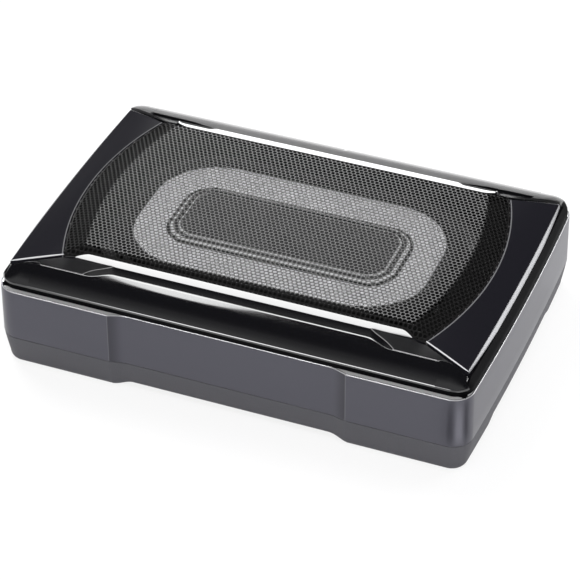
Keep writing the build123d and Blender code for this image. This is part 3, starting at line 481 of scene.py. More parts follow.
def frameCorner(side, top, direction):
    # the profile turns from the rail's to the skirt's as it goes round the corner
    f = topFrame
    _, cx, cy, turn = casePlan(f["halfWidth"], f["halfDepth"], f["corner"])
    s = np.linspace(0, 1, 34)
    straight, onRail = 0.22, 0.62
    angle = np.pi / 2 - (np.pi / 2 - turn) * np.clip((s - straight) / (1 - straight), 0, 1)
    baseX = np.where(s < straight, f["railEndX"] + (cx - f["railEndX"]) * np.clip(s / straight, 0, 1), cx)
    dirX, dirY = np.cos(angle) * (s >= straight), np.where(s >= straight, np.sin(angle), 1.0)
    along = np.clip(s / onRail, 0, 1)
    past = smooth((s - onRail) / (1 - onRail))
    innerX = f["railEndX"] + (f["capOutX"] + 0.3 - f["railEndX"]) * along
    innerY = capEndY(innerX, direction) + f["capGap"] * (1 - 0.6 * along)
    sideY = cy + f["corner"] * np.sin(turn)
    endX = cx + (f["corner"] - 3.1) * np.cos(turn)
    innerX = innerX + (endX - innerX) * past
    innerY = innerY + (sideY - 0.3 - innerY) * past
    low, _ = outerFoot(top, 0.7)
    skirt = skirtProfile()
    blend = smooth((s - 0.55) / 0.45)
    control = [tuple(a + (b - a) * blend for a, b in zip(*pair)) for pair in zip(low, skirt)]
    reachX = baseX + (f["corner"] - control[4][0]) * dirX
    reachY = cy + (f["corner"] - control[4][0]) * dirY
    gone = np.hypot(innerX - reachX, innerY - reachY)
    spots = [(baseX + (f["corner"] - d) * dirX, cy + (f["corner"] - d) * dirY, z) for d, z in control]
    innerZ = top(0.6 + gone[None])[0] * (1 - past) + 58.4 * past
    for t in (0.2, 0.45, 0.72):
        z = top(0.6 + gone * t) * (1 - blend) + (control[4][1] + (58.4 - control[4][1]) * t) * blend
        spots.append((reachX + (innerX - reachX) * t, reachY + (innerY - reachY) * t, z))
    spots.append((innerX, innerY, innerZ))
    last = innerZ - 2.0 * (1 - past) + 0.1 * past
    spots.append((innerX - 0.3 * (1 - past) - 2.9 * past, innerY - 0.3, last))
    return roundProfile(spots, [0, 0.1, 0.2, 0.7, 0.9, 1.5, 1.5, 1.5, 0.5, 0]) * [side, direction, 1]


def sideSkirt(side):
    # gloss skirt below the cap, its profile carried along the bowed side
    f = topFrame
    bowRadius, _, _, turn = casePlan(f["halfWidth"], f["halfDepth"], f["corner"])
    y = bowRadius * np.sin(np.linspace(-turn, turn, 61))
    centre = f["halfWidth"] - bowRadius
    angle = np.arcsin(y / bowRadius)
    spots = []
    for inset, z in skirtProfile():
        r = bowRadius - inset
        spots.append((centre + r * np.cos(angle), r * np.sin(angle), z))
    return roundProfile(spots, [0, 0.1, 0.2, 1.6, 0.9, 0.3, 0]) * [side, 1, 1]


def topFrameShell():
    f = topFrame
    grids = [(frontRail(), False, False), (rearRail(), False, False)]
    for side in (-1, 1):
        grids += [(frameCorner(side, fasciaZ, -1), False, False), (frameCorner(side, rimZ, 1), False, False),
                  (sideSkirt(side), False, False)]
    points, faces = joinGrids(grids)
    piece = makePiece("topFrameShell", points, faces, smoothAngle=40.0)
    # second finish on the set back reveal round the foot and on the skirts under the side caps
    x, y, z = np.abs(faceVectors(piece.data, "center")) / mm
    matt = (z < 54.12) | ((x > f["capOutX"] + 0.8) & (y < 86.5))
    piece.data.polygons.foreach_set("material_index", matt.astype(int))
    return piece


# side caps

# the ends of its edges are the cap points of topFrame
sideCap = {"inMidX": 120.2, "inZ": 65.9, "outMidX": 134.6, "outZ": 61.95, "facetX": 136.6, "facetZ": 59.5,
           "thick": 2.4}


def arcThrough(y, middle, end, endY):
    sag = middle - end
    radius = (endY ** 2 + sag ** 2) / (2 * sag)
    return middle - radius + np.sqrt(radius ** 2 - y ** 2)


def sideCapPiece(side):
    # strips from the inner edge over the crowned top and the outer facet, closed underneath
    c, f = sideCap, topFrame
    s = np.linspace(-1, 1, 73)
    innerY = s * (f["capInY"] - f["rearShort"] * (s > 0))
    outerY = s * (f["capOutY"] - f["rearShort"] * (s > 0))
    innerX = arcThrough(innerY, c["inMidX"], f["capInX"], f["capInY"])
    inner = atHeight(innerX, innerY, c["inZ"])
    outerX = c["outMidX"] - (c["outMidX"] - f["capOutX"]) * (outerY / f["capOutY"]) ** 2
    outer = atHeight(outerX, outerY, c["outZ"])
    taper = np.clip((1 - np.abs(s)) / 0.5, 0, 1) ** 0.7
    facetX = c["outMidX"] - 2.2 * (outerY / 95) ** 2 + (c["facetX"] - c["outMidX"]) * (0.35 + 0.65 * taper)
    facet = np.stack([facetX, outerY, c["outZ"] - (c["outZ"] - c["facetZ"]) * (0.5 + 0.5 * taper)], -1)
    rows = []
    for t in (0, 0.1, 0.25, 0.5, 0.75, 0.9, 1.0):
        crown = 0.28 * 4 * t * (1 - t)
        rows.append(inner + (outer - inner) * t + [0, 0, crown])
    rows += [outer + (facet - outer) * 0.5 + [0.05, 0, 0.05], facet, facet * [1, 1, 0] + [-0.5, 0, 58.3],
             outer * [1, 1, 0] + [-2.4, 0, c["outZ"] - c["thick"]], inner - [0, 0, c["thick"]]]
    grid = np.stack(rows)
    rowCount, columnCount = grid.shape[:2]
    points = grid.reshape(-1, 3) * [side, 1, 1]
    quads = gridFaces(rowCount, columnCount, False, True)
    ends = []
    for column in (0, columnCount - 1):
        index = np.arange(rowCount) * columnCount + column
        ends.append(index.tolist() if column else index[::-1].tolist())
    name = "sideCapRightWing" if side > 0 else "sideCapLeftWing"
    piece = makePiece(name, points, quads.tolist() + ends, smoothAngle=25.0)
    # the outer facet takes the polished finish
    x, _, z = faceVectors(piece.data, "normal")
    polished = (np.abs(x) > 0.6) & (z > 0.3)
    piece.data.polygons.foreach_set("material_index", polished.astype(int))
    addBevel(piece, 0.35, 2, 18)
    return piece


# centre cap of the driver

# painted light on the centre cap: painted shade in the foot gap and the groove, painted highlight on the two
# bevels, given against the distance in from the foot outline
centreCap = {"foot": (69.0, 28.4, 18.0), "underZ": 57.95,
             "steps": [(0.0, 58.25), (0.3, 58.55), (1.9, 58.6), (2.1, 58.75), (3.7, 59.7), (5.5, 60.05),
                       (5.7, 59.7), (6.6, 59.7), (6.8, 59.95), (7.7, 60.4), (9.2, 60.5), (11.0, 60.52)],
             "toneAt": [0.0, 1.95, 2.0, 3.7, 3.75, 5.55, 5.6, 6.65, 6.7, 7.7, 7.75, 30.0],
             "paintedLightTone": [0.0, 0.0, 0.95, 0.95, 0.06, 0.06, 0.0, 0.0, 0.9, 0.9, 0.05, 0.05]}


def roundedOutline(a, b, r, count=96):
    # corner arcs and straights of a rounded rectangle, with the same number of points for every size
    t = np.linspace(0, np.pi / 2, count // 8 + 1)
    corner = np.stack([a - r + r * np.cos(t), b - r + r * np.sin(t)], -1)
    top = np.stack([np.linspace(a - r, 0, count // 8 + 1)[1:], np.full(count // 8, b)], -1)
    quarter = np.concatenate([corner, top])
    half = np.concatenate([quarter, quarter[::-1][1:] * [-1, 1]])
    return np.concatenate([half, half[::-1][1:-1] * [1, -1]])


def centreCapPiece():
    # rings of the foot outline drawn in step by step: bevel, groove, raised inner panel
    c = centreCap
    a, b, r = c["foot"]
    rings = []
    for inset, z in [(3.0, c["underZ"]), (0.0, c["underZ"])] + c["steps"]:
        rings.append(atHeight(*roundedOutline(a - inset, b - inset, max(r - inset, 1.2)).T, z))
    grid = np.array(rings)
    points, faces = joinGrids([(grid, True, False)])
    count = grid.shape[1]
    ends = [list(range(count))[::-1], list(range(len(points) - count, len(points)))]
    piece = makePiece("centreCapPanel", points, faces.tolist() + ends, "diaphragm", 30.0)
    # painted highlight and painted shade of each face, read from how far in from the foot outline it lies
    x, y, _ = np.abs(faceVectors(piece.data, "center")) / mm
    qx, qy = x - (a - r), y - (b - r)
    inset = r - np.hypot(np.maximum(qx, 0), np.maximum(qy, 0)) - np.minimum(np.maximum(qx, qy), 0)
    paintedLightTone = piece.data.attributes.new("paintedLightTone", "FLOAT", "FACE")
    paintedLightTone.data.foreach_set("value", np.interp(inset, c["toneAt"], c["paintedLightTone"]))
    return piece


# grille

grille = {
    "pitch": 2.67, "rowPitch": 2.40, "holeRadius": 1.03, "topZ": 69.62, "crown": 0.33, "foldMidX": 106.4,
    "foldEndX": 96.4, "foldY": 63.0, "edgeZ": 65.6, "frontEdgeZ": 67.2, "roundOver": 0.16, "thickness": 0.25,
    "gap": 0.35, "hemZ": 63.4, "rowReach": 31, "holeReach": 47, "holeSides": 12,
    "arcReach": 72, "crownX": 110, "crownY": 70, "frontEdgeY": 66.25, "straightX": 91.0, "sweepRun": 7.8,
    "straightY": 66.6, "frontEndY": 70.4, "rearEndY": 68.6,
    "parts": {"grilleLeft": (-200, -57), "grilleMiddleLeft": (-57, 0), "grilleMiddleRight": (0, 57),
              "grilleRight": (57, 200)},
}


def grilleEdgeX(y):
    # the caps' inner arc less a gap
    f, reach = topFrame, grille["arcReach"]
    return arcThrough(np.clip(y, -reach, reach), sideCap["inMidX"], f["capInX"], f["capInY"]) - grille["gap"]


def grilleEdgeY(x, rear=False):
    # straight, then swept out like the crest
    g = grille
    t = np.clip((np.abs(x) - g["straightX"]) / g["sweepRun"], 0, 1)
    return g["straightY"] - g["gap"] + (g["rearEndY" if rear else "frontEndY"] - g["straightY"]) * t ** 1.7


def softMin(a, b, k):
    h = np.clip(0.5 + 0.5 * (b - a) / k, 0, 1)
    return b * (1 - h) + a * h - k * h * (1 - h)


def grilleHeight(x, y):
    # crowned plateau met by sloping margins: side planes, and steeper front and rear planes
    g = grille
    plateau = g["topZ"] + g["crown"] * (1 - (x / g["crownX"]) ** 2) * (1 - (y / g["crownY"]) ** 2)
    reach = np.clip(y, -g["arcReach"], g["arcReach"])
    fold = arcThrough(reach, g["foldMidX"], g["foldEndX"], g["foldY"])
    edge = grilleEdgeX(y)
    side = g["topZ"] - (g["topZ"] - g["edgeZ"]) * (np.abs(x) - fold) / (edge - fold)
    down = (np.abs(y) - g["foldY"]) / (g["frontEdgeY"] - g["foldY"])
    front = g["topZ"] - (g["topZ"] - g["frontEdgeZ"]) * down
    return softMin(softMin(plateau, side, 0.5), front, 0.35)


def perforatedSheet():
    # every hole sits in a six-sided cell: points on the cell's rim, where the edge starts to turn down, and
    # on the hole itself, a little lower
    g = grille
    p, q, r, n = g["pitch"], g["rowPitch"], g["holeRadius"], g["holeSides"]
    rows, cols = np.arange(-g["rowReach"], g["rowReach"] + 1), np.arange(-g["holeReach"], g["holeReach"] + 1)
    rowGrid, colGrid = np.meshgrid(rows, cols, indexing="ij")
    cx = (colGrid + 0.5 * (np.abs(rowGrid) % 2)).ravel() * p
    cy = rowGrid.ravel() * q
    keep = (-cy < grilleEdgeY(cx) + 1.25) & (cy < grilleEdgeY(cx, True) + 1.25)
    keep &= np.abs(cx) < grilleEdgeX(cy) + 1.3
    cx, cy = cx[keep], cy[keep]
    half = p / 2
    tall = (q * q + half * half) / (2 * q)
    low = q - tall
    mid = (low + tall) / 2
    upper = np.array([[half, 0], [half, low], [half / 2, mid], [0, tall], [-half / 2, mid], [-half, low]])
    cell = np.concatenate([upper, 0.0 - upper])
    angles = np.arctan2(cell[:, 1], cell[:, 0])
    unit = np.column_stack([np.cos(angles), np.sin(angles)])
    centre = np.column_stack([cx, cy])[:, None, :]
    flat = np.concatenate([centre + ring for ring in (cell, (r + g["roundOver"]) * unit, r * unit)], axis=1)
    flat[..., 1] = np.clip(flat[..., 1], -grilleEdgeY(flat[..., 0]), grilleEdgeY(flat[..., 0], True))
    edgeX = grilleEdgeX(flat[..., 1])
    flat[..., 0] = np.clip(flat[..., 0], -edgeX, edgeX)
    z = grilleHeight(flat[..., 0], flat[..., 1])
    z[:, 2 * n:] -= g["roundOver"] * 0.8
    k = np.arange(n)
    quads = np.stack([k, (k + 1) % n, n + (k + 1) % n, n + k], -1)
    return cx, np.concatenate([flat, z[..., None]], axis=2), np.concatenate([quads, quads + n])


def grillePieces():
    cx, points, holeQuads = perforatedSheet()
    made = []
    for name, (low, high) in grille["parts"].items():
        chosen = points[(cx >= low) & (cx < high)]
        count, perHole = chosen.shape[:2]
        quads = (holeQuads + (np.arange(count) * perHole)[:, None, None]).reshape(-1, 4)
        chosen = chosen.reshape(-1, 3)
        a, b, c, d = (chosen[quads[:, k]] for k in range(4))
        area = np.linalg.norm(np.cross(c - a, d - b), axis=1)
        piece = makePiece(name, chosen, quads[area > 1e-4], smoothAngle=35.0)
        if piece.data.polygons[0].normal.z < 0:
            piece.data.flip_normals()
        markRims(piece.data)
        sheet = piece.modifiers.new("sheet", "SOLIDIFY")
        sheet.thickness = grille["thickness"] * mm
        sheet.offset = -1
        made.append(piece)
    return made


def grilleHem():
    # folded border: a narrow lip along the sheet's edge and a wall that turns down
    g = grille
    y = np.linspace(-70.15, 68.3, 90)
    xSide = grilleEdgeX(y)
    xFront = np.concatenate([np.linspace(105.2, 91, 12), np.linspace(90, -90, 61),
                             np.linspace(-91, -105.2, 12)])
    yFront, yRear = grilleEdgeY(xFront), grilleEdgeY(xFront, True)
    ring = np.concatenate([np.column_stack([xSide, y]), np.column_stack([xFront, yRear])[1:-1],
                           np.column_stack([-xSide, y])[::-1], np.column_stack([-xFront, -yFront])[1:-1]])
    ahead, behind = np.roll(ring, -1, 0), np.roll(ring, 1, 0)
    tangent = ahead - behind
    tangent /= np.linalg.norm(tangent, axis=1)[:, None]
    normal = np.column_stack([tangent[:, 1], -tangent[:, 0]])
    def row(inset, lift, z=None):
        spot = ring - normal * inset
        height = grilleHeight(spot[:, 0], spot[:, 1]) + lift if z is None else np.full(len(spot), z)
        return np.column_stack([spot, height])
    rows = [row(0.9, -0.2), row(0.85, 0.05), row(0.45, 0.08), row(0.12, 0.0), row(0.0, -0.25),
            row(0.0, 0, g["hemZ"]), row(0.5, 0, g["hemZ"]), row(0.5, -0.9)]
    points, faces = joinGrids([(np.stack(rows), True, True)])
    return makePiece("grilleHem", points, faces)


# suspension: surround and spider are cut into sectors, each with its profile carried straight outwards from
# cone to chassis

suspension = {
    "coneHalf": (86.6, 48.5, 36.0), "landingZ": 56.9, "lip": 0.7, "rollRadius": 4.5, "wall": 0.8,
    "lipIn": -4.0, "lipOut": 11.9, "bendIn": 1.75, "bendOut": 8.5, "cornerSplits": 3,
    "spiderIn": 25.02, "waveIn": 27.5, "waveOut": 47.0, "spiderOut": 53.2, "spiderZ": 38.2, "waveHigh": 1.1,
    "waves": 5, "spiderThick": 0.58, "spiderSectors": 12, "spiderBendIn": 26.2, "spiderBendOut": 36.0,
}


def sectorPiece(name, profile, base, normal):
    # profile (distance outwards, height) carried along base points and closed at both ends
    spots = base[None] + profile[:, :1, None] * normal[None]
    heights = np.repeat(profile[:, 1], len(base)).reshape(len(profile), len(base), 1)
    points = np.concatenate([spots, heights], axis=2).reshape(-1, 3)
    first = (np.arange(len(profile)) * len(base)).tolist()
    ends = [first, [k + len(base) - 1 for k in first[::-1]]]
    piece = makePiece(name, points, gridFaces(len(profile), len(base), False, True).tolist() + ends, None)
    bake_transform(piece)
    return piece


def surroundParts():
    # half roll between two flat lips
    c = suspension
    low, high, middle = c["landingZ"], c["landingZ"] + c["lip"], c["rollRadius"] + 0.4
    turn = np.linspace(0, np.pi, 19)
    arch = lambda r: np.column_stack([middle + r * np.cos(turn), high + r * np.sin(turn)])
    outer, inner = arch(c["rollRadius"]), arch(c["rollRadius"] - c["wall"])[::-1]
    profile = np.concatenate([[(c["lipIn"], high), (c["lipIn"], low), (inner[0, 0], low)], inner,
                              [(inner[-1, 0], low), (c["lipOut"], low), (c["lipOut"], high)], outer])
    a, b, r = c["coneHalf"]
    made = []
    for k, (x, y, along) in enumerate(((1, 0, b - r), (0, 1, a - r), (-1, 0, b - r), (0, -1, a - r))):
        way, side = np.array([x, y], float), np.array([-y, x], float)
        edge = way * (a if x else b)
        t = np.linspace(-along, along, 13)[:, None]
        made.append(sectorPiece(f"surroundSide{k}", profile, edge + t * side, np.tile(way, (13, 1))))
        centre = np.array([(a - r) * (x - y), (b - r) * (x + y)])
        step = np.pi / 2 / c["cornerSplits"]
        for j in range(c["cornerSplits"]):
            angle = np.arctan2(y, x) + step * j + np.linspace(0, step, 7)
            normal = np.column_stack([np.cos(angle), np.sin(angle)])
            way = normal[3] * np.cos(step / 2)
            made.append(sectorPiece(f"surroundCorner{k}_{j}", profile, centre + r * normal, normal))
    return made


def spiderParts():
    # corrugated disc, flat where it meets the coil former and the chassis ledge
    c = suspension
    wave = np.linspace(c["waveIn"], c["waveOut"], 61)
    grow = smooth((wave - c["waveIn"]) / 5.0)
    phase = (wave - c["waveIn"]) / (c["waveOut"] - c["waveIn"]) * 2 * np.pi * c["waves"]
    top = c["spiderZ"] + c["waveHigh"] * grow * np.sin(phase)
    radii = np.concatenate([[c["spiderIn"]], wave, [c["spiderOut"]]])
    top = np.concatenate([[c["spiderZ"]], top, [c["spiderZ"]]])
    under = np.column_stack([radii, top - c["spiderThick"]])[::-1]
    profile = np.concatenate([np.column_stack([radii, top]), under])
    step = 2 * np.pi / c["spiderSectors"]
    made = []
    for k in range(c["spiderSectors"]):
        angle = step * k + np.linspace(0, step, 9)
        normal = np.column_stack([np.cos(angle), np.sin(angle)])
        made.append(sectorPiece(f"spiderSector{k}", profile, np.zeros((9, 2)), normal))
    return made


print("stage: shapes defined")
housingPiece = housingShell()
linerPiece = wellLiner()
basePiece = baseShell()
framePiece = topFrameShell()
capRight, capLeft = sideCapPiece(1), sideCapPiece(-1)
grilleParts = grillePieces()
capPanel = centreCapPiece()
hemPiece = grilleHem()
surroundSet, spiderSet = surroundParts(), spiderParts()
# groups of pieces, the CAD node that each group stands for and the slot of its finish
pieceRows = [
    ([housingPiece], "main_housing", "housing"), ([linerPiece], None, "housing"),
    ([basePiece], "base_cover", "base"), ([framePiece], "top_frame", "frame_black"),
    ([capRight], "side_cap_right", "cap_satin"), ([capLeft], "side_cap_left", "cap_satin"),
    ([hemPiece], None, "grille"), ([capPanel], "centre_cap", "cap"),
    (grilleParts[1:] + grilleParts[:1], "grille", "grille"), (surroundSet, "surround", "rubber"),
    (spiderSet, "spider", "spider"),
]
for group, node, slotName in pieceRows:
    if node:
        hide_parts(node)
    for piece in group:
        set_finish(piece, slotName)
print("stage: pieces made")

# finishes


def newGroup(name, inputs, outputs):
    # inputs are rows of name, kind and value, outputs rows of name and kind
    group = bpy.data.node_groups.new(name, "ShaderNodeTree")
    for label, kind, value in inputs:
        socket = group.interface.new_socket(label, in_out="INPUT", socket_type="NodeSocket" + kind)
        socket.default_value = value
    for label, kind in outputs:
        group.interface.new_socket(label, in_out="OUTPUT", socket_type="NodeSocket" + kind)
    return group, group.nodes.new("NodeGroupInput"), group.nodes.new("NodeGroupOutput")


def nodeTools(tree):
    # short ways to add a sum of values, a soft step up, a soft step down and a product
    def math(kind, *values, clamp=False):
        node = tree.nodes.new("ShaderNodeMath")
        node.operation = kind
        node.use_clamp = clamp
        for socket, value in zip(node.inputs, values):
            if isinstance(value, (int, float)):
                socket.default_value = value
            else:
                tree.links.new(value, socket)
        return node.outputs[0]

    def ramp(value, low, high):
        node = tree.nodes.new("ShaderNodeMapRange")
        node.interpolation_type = "SMOOTHSTEP"
        node.inputs["From Min"].default_value = low
        node.inputs["From Max"].default_value = high
        tree.links.new(value, node.inputs["Value"])
        return node.outputs[0]

    def fall(value, low, high):
        return math("SUBTRACT", 1.0, ramp(value, low, high))

    def product(*values):
        total = values[0]
        for value in values[1:]:
            total = math("MULTIPLY", total, value)
        return total

    return math, ramp, fall, product


def placeParts(tree):
    place = tree.nodes.new("ShaderNodeTexCoord")
    split = tree.nodes.new("ShaderNodeSeparateXYZ")
    tree.links.new(place.outputs["Object"], split.inputs[0])
    return split.outputs


# lowest and highest place of each mask's soft edge in metres, and how strong its painted highlight is
# housing masks: painted highlights on the rim, the ledge and the creases, painted shade on the slopes and the
# deck
housingMarks = {
    "front": (0.0880, 0.0885), "crease": (0.0, 0.0005), "creaseHighlight": 0.08, "slopeIn": (0.0610, 0.0690),
    "slopeOut": (0.0695, 0.0697), "deckX": (0.1350, 0.1353), "deckY": (0.0903, 0.0906),
    "deckZ": (0.0470, 0.0472), "rim": (0.0503, 0.0506), "rimHighlight": 0.5, "ledge": (0.05086, 0.05089),
}
frameMarks = {
    "pocketEdge": (0.0, 0.0001), "pocketX": (0.0750, 0.0755), "pocketY": (0.0720, 0.0721),
    "pocketOut": 0.0785, "rimIn": (0.0722, 0.0726), "rimOut": (0.0780, 0.0905), "rimShare": 0.75,
    "line": (0.0001, 0.00025), "lineX": (0.0745, 0.0755), "lineEnd": 0.0905,
}
# cap marks: where the painted highlight lines lie and how strong they are
capMarks = {"below": 0.0004, "line": (0.0003, 0.0006), "lineOut": (0.0009, 0.0012), "endLight": 0.7,
            "arcLight": 0.14}


def housingMasksGroup():
    # Light: painted highlight on the rim above the wall, on its flat top ledge and on the upright crease lines;
    # the slope mask: painted shade on the slope from each crease inwards; the deck mask: painted shade on the
    # plate that the frame covers
    group, _, out = newGroup("housingMasks", [], [("Light", "Float"), ("DeckShade", "Float"), ("SlopeShade", "Float")])
    math, ramp, fall, product = nodeTools(group)
    x, y, z = placeParts(group)
    m = housingMarks
    acrossX, acrossY = math("ABSOLUTE", x), math("ABSOLUTE", y)
    fromCrease = math("ABSOLUTE", math("SUBTRACT", acrossX, casing["creaseHalf"] * mm))
    onFront = ramp(acrossY, *m["front"])
    # painted highlight along the upright crease lines
    crease = product(fall(fromCrease, *m["crease"]), onFront, m["creaseHighlight"])
    # painted shade on the slope from each crease inwards
    slopeShade = product(ramp(acrossX, *m["slopeIn"]), fall(acrossX, *m["slopeOut"]), onFront)
    # painted shade on the deck under the frame and grille; it also takes away the painted highlights there
    under = product(fall(acrossX, *m["deckX"]), fall(acrossY, *m["deckY"]), ramp(z, *m["deckZ"]))
    # painted highlight on the rounded top edge of the wall, and at full strength on the flat top ledge
    rim = math("MULTIPLY", ramp(z, *m["rim"]), m["rimHighlight"])
    light = math("MAXIMUM", crease, math("MAXIMUM", rim, ramp(z, *m["ledge"])))
    light = math("MULTIPLY", light, math("SUBTRACT", 1.0, under))
    for name, value in (("Light", light), ("DeckShade", under), ("SlopeShade", slopeShade)):
        group.links.new(value, out.inputs[name])
    return group


def frameMaskGroup():
    # Satin: the two pockets beside the front crest, and the rear rim, most beside its crest;
    # Line: painted highlight along the pockets' diagonal edge
    group, _, out = newGroup("frameMask", [], [("Satin", "Float"), ("Line", "Float")])
    math, ramp, fall, product = nodeTools(group)
    x, y, _ = placeParts(group)
    f, m = topFrame, frameMarks
    acrossX, acrossY = math("ABSOLUTE", x), math("ABSOLUTE", y)
    grade = (f["lineOutY"] - f["crestOutY"]) / (f["diagonalTo"] - f["diagonalFrom"])
    diagonal = math("ADD", math("MULTIPLY", math("SUBTRACT", acrossX, f["diagonalFrom"] * mm), grade),
                    (f["crestOutY"] - 0.25) * mm)
    inside = math("SUBTRACT", math("MINIMUM", diagonal, m["pocketOut"]), acrossY)
    atFront = math("LESS_THAN", y, 0.0)
    pocket = product(ramp(inside, *m["pocketEdge"]), ramp(acrossY, *m["pocketY"]), atFront,
                     ramp(acrossX, *m["pocketX"]))
    rim = product(ramp(y, *m["rimIn"]), fall(y, *m["rimOut"]), m["rimShare"])
    # painted highlight: a thin line along the pockets' diagonal edge
    near = fall(math("ABSOLUTE", inside), *m["line"])
    line = product(near, ramp(acrossX, *m["lineX"]), math("LESS_THAN", acrossX, m["lineEnd"]), atFront)
    group.links.new(math("MAXIMUM", pocket, rim), out.inputs["Satin"])
    group.links.new(line, out.inputs["Line"])
    return group


def fineGrainGroup():
    # speckle at two scales, given out as a tint factor, a roughness shift and a bump normal
    group, given, out = newGroup(
        "fineGrain", [("Scale", "Float", 900.0), ("Depth", "Float", 0.1), ("Spread", "Float", 0.1),
                      ("Roughness", "Float", 0.4), ("Color", "Color", (0.5, 0.5, 0.5, 1))],
        [("Color", "Color"), ("Roughness", "Float"), ("Normal", "Vector")])
    nodes, links, given = group.nodes, group.links, given.outputs
    math, *_ = nodeTools(group)
    place = nodes.new("ShaderNodeTexCoord")
    fine, broad = nodes.new("ShaderNodeTexNoise"), nodes.new("ShaderNodeTexNoise")
    for noise, detail in ((fine, 3.0), (broad, 4.0)):
        noise.inputs["Detail"].default_value = detail
        links.new(place.outputs["Object"], noise.inputs["Vector"])
    links.new(given["Scale"], fine.inputs["Scale"])
    broad.inputs["Scale"].default_value = 22.0
    mix = math("MULTIPLY_ADD", fine.outputs["Fac"], 0.6, math("MULTIPLY", broad.outputs["Fac"], 0.4))
    spread = math("MULTIPLY", math("SUBTRACT", mix, 0.5), given["Spread"])
    tint = nodes.new("ShaderNodeVectorMath")
    tint.operation = "SCALE"
    links.new(given["Color"], tint.inputs[0])
    links.new(math("ADD", spread, 1.0), tint.inputs["Scale"])
    bump = nodes.new("ShaderNodeBump")
    bump.inputs["Distance"].default_value = 0.0004
    links.new(given["Depth"], bump.inputs["Strength"])
    links.new(fine.outputs["Fac"], bump.inputs["Height"])
    links.new(tint.outputs[0], out.inputs["Color"])
    links.new(math("ADD", spread, given["Roughness"], clamp=True), out.inputs["Roughness"])
    links.new(bump.outputs["Normal"], out.inputs["Normal"])
    return group


fineGrain = fineGrainGroup()
housingMasks = housingMasksGroup()
frameMask = frameMaskGroup()


def finish(name, color, metallic, roughness, scale, depth, spread, specular=0.5, coat=0.0):
    # a Principled surface whose colour, roughness and normal come from the grain group
    material = bpy.data.materials.new(name)
    material.use_nodes = True
    nodes, links = material.node_tree.nodes, material.node_tree.links
    shader = nodes["Principled BSDF"]
    grain = nodes.new("ShaderNodeGroup")
    grain.node_tree = fineGrain
    for label, value in (("Scale", scale), ("Depth", depth), ("Spread", spread), ("Roughness", roughness),
                         ("Color", (*color, 1))):
        grain.inputs[label].default_value = value
    for given, taken in (("Color", "Base Color"), ("Roughness", "Roughness"), ("Normal", "Normal")):
        links.new(grain.outputs[given], shader.inputs[taken])
    for label, value in (("Metallic", metallic), ("Specular IOR Level", specular), ("Coat Weight", coat),
                         ("Coat Roughness", 0.03)):
        shader.inputs[label].default_value = value
    return material


def addMasks(material, group):
    masks = material.node_tree.nodes.new("ShaderNodeGroup")
    masks.node_tree = group
    return masks.outputs


def mixColor(material, factor, other):
    # lays a second colour over what already feeds the base colour, by a mask
    nodes, links = material.node_tree.nodes, material.node_tree.links
    target = nodes["Principled BSDF"].inputs["Base Color"]
    mix = nodes.new("ShaderNodeMix")
    mix.data_type = "RGBA"
    links.new(factor, mix.inputs[0])
    links.new(target.links[0].from_socket, mix.inputs[6])
    mix.inputs[7].default_value = (*other, 1)
    links.new(mix.outputs[2], target)


def housingFinish():
    material = finish("satinCasting", (0.077, 0.076, 0.093), 0.55, 0.30, 1600, 0.05, 0.10)
    masks = addMasks(material, housingMasks)
    # painted shade: darker colour on the slopes beside the creases
    mixColor(material, masks["SlopeShade"], (0.046, 0.045, 0.056))
    # painted highlight: near white on the top rim, the ledge and the crease lines
    mixColor(material, masks["Light"], (0.85, 0.85, 0.86))
    # painted shade: the deck under the frame and grille made near black
    mixColor(material, masks["DeckShade"], (0.008, 0.008, 0.008))
    return material


def frameFinish():
    # gloss coat that the satin mask takes away, while it adds roughness
    material = finish("pianoBlack", (0.004, 0.004, 0.005), 0.0, 0.07, 300, 0.0, 0.03, 0.5, 1.0)
    tree = material.node_tree
    masks = addMasks(material, frameMask)
    math, *_ = nodeTools(tree)
    shader = tree.nodes["Principled BSDF"].inputs
    rough = shader["Roughness"].links[0].from_socket
    tree.links.new(math("SUBTRACT", 1.0, masks["Satin"]), shader["Coat Weight"])
    tree.links.new(math("ADD", rough, math("MULTIPLY", masks["Satin"], 0.38)), shader["Roughness"])
    # painted highlight along the pockets' diagonal edge
    mixColor(material, masks["Line"], (0.22, 0.22, 0.22))
    return material


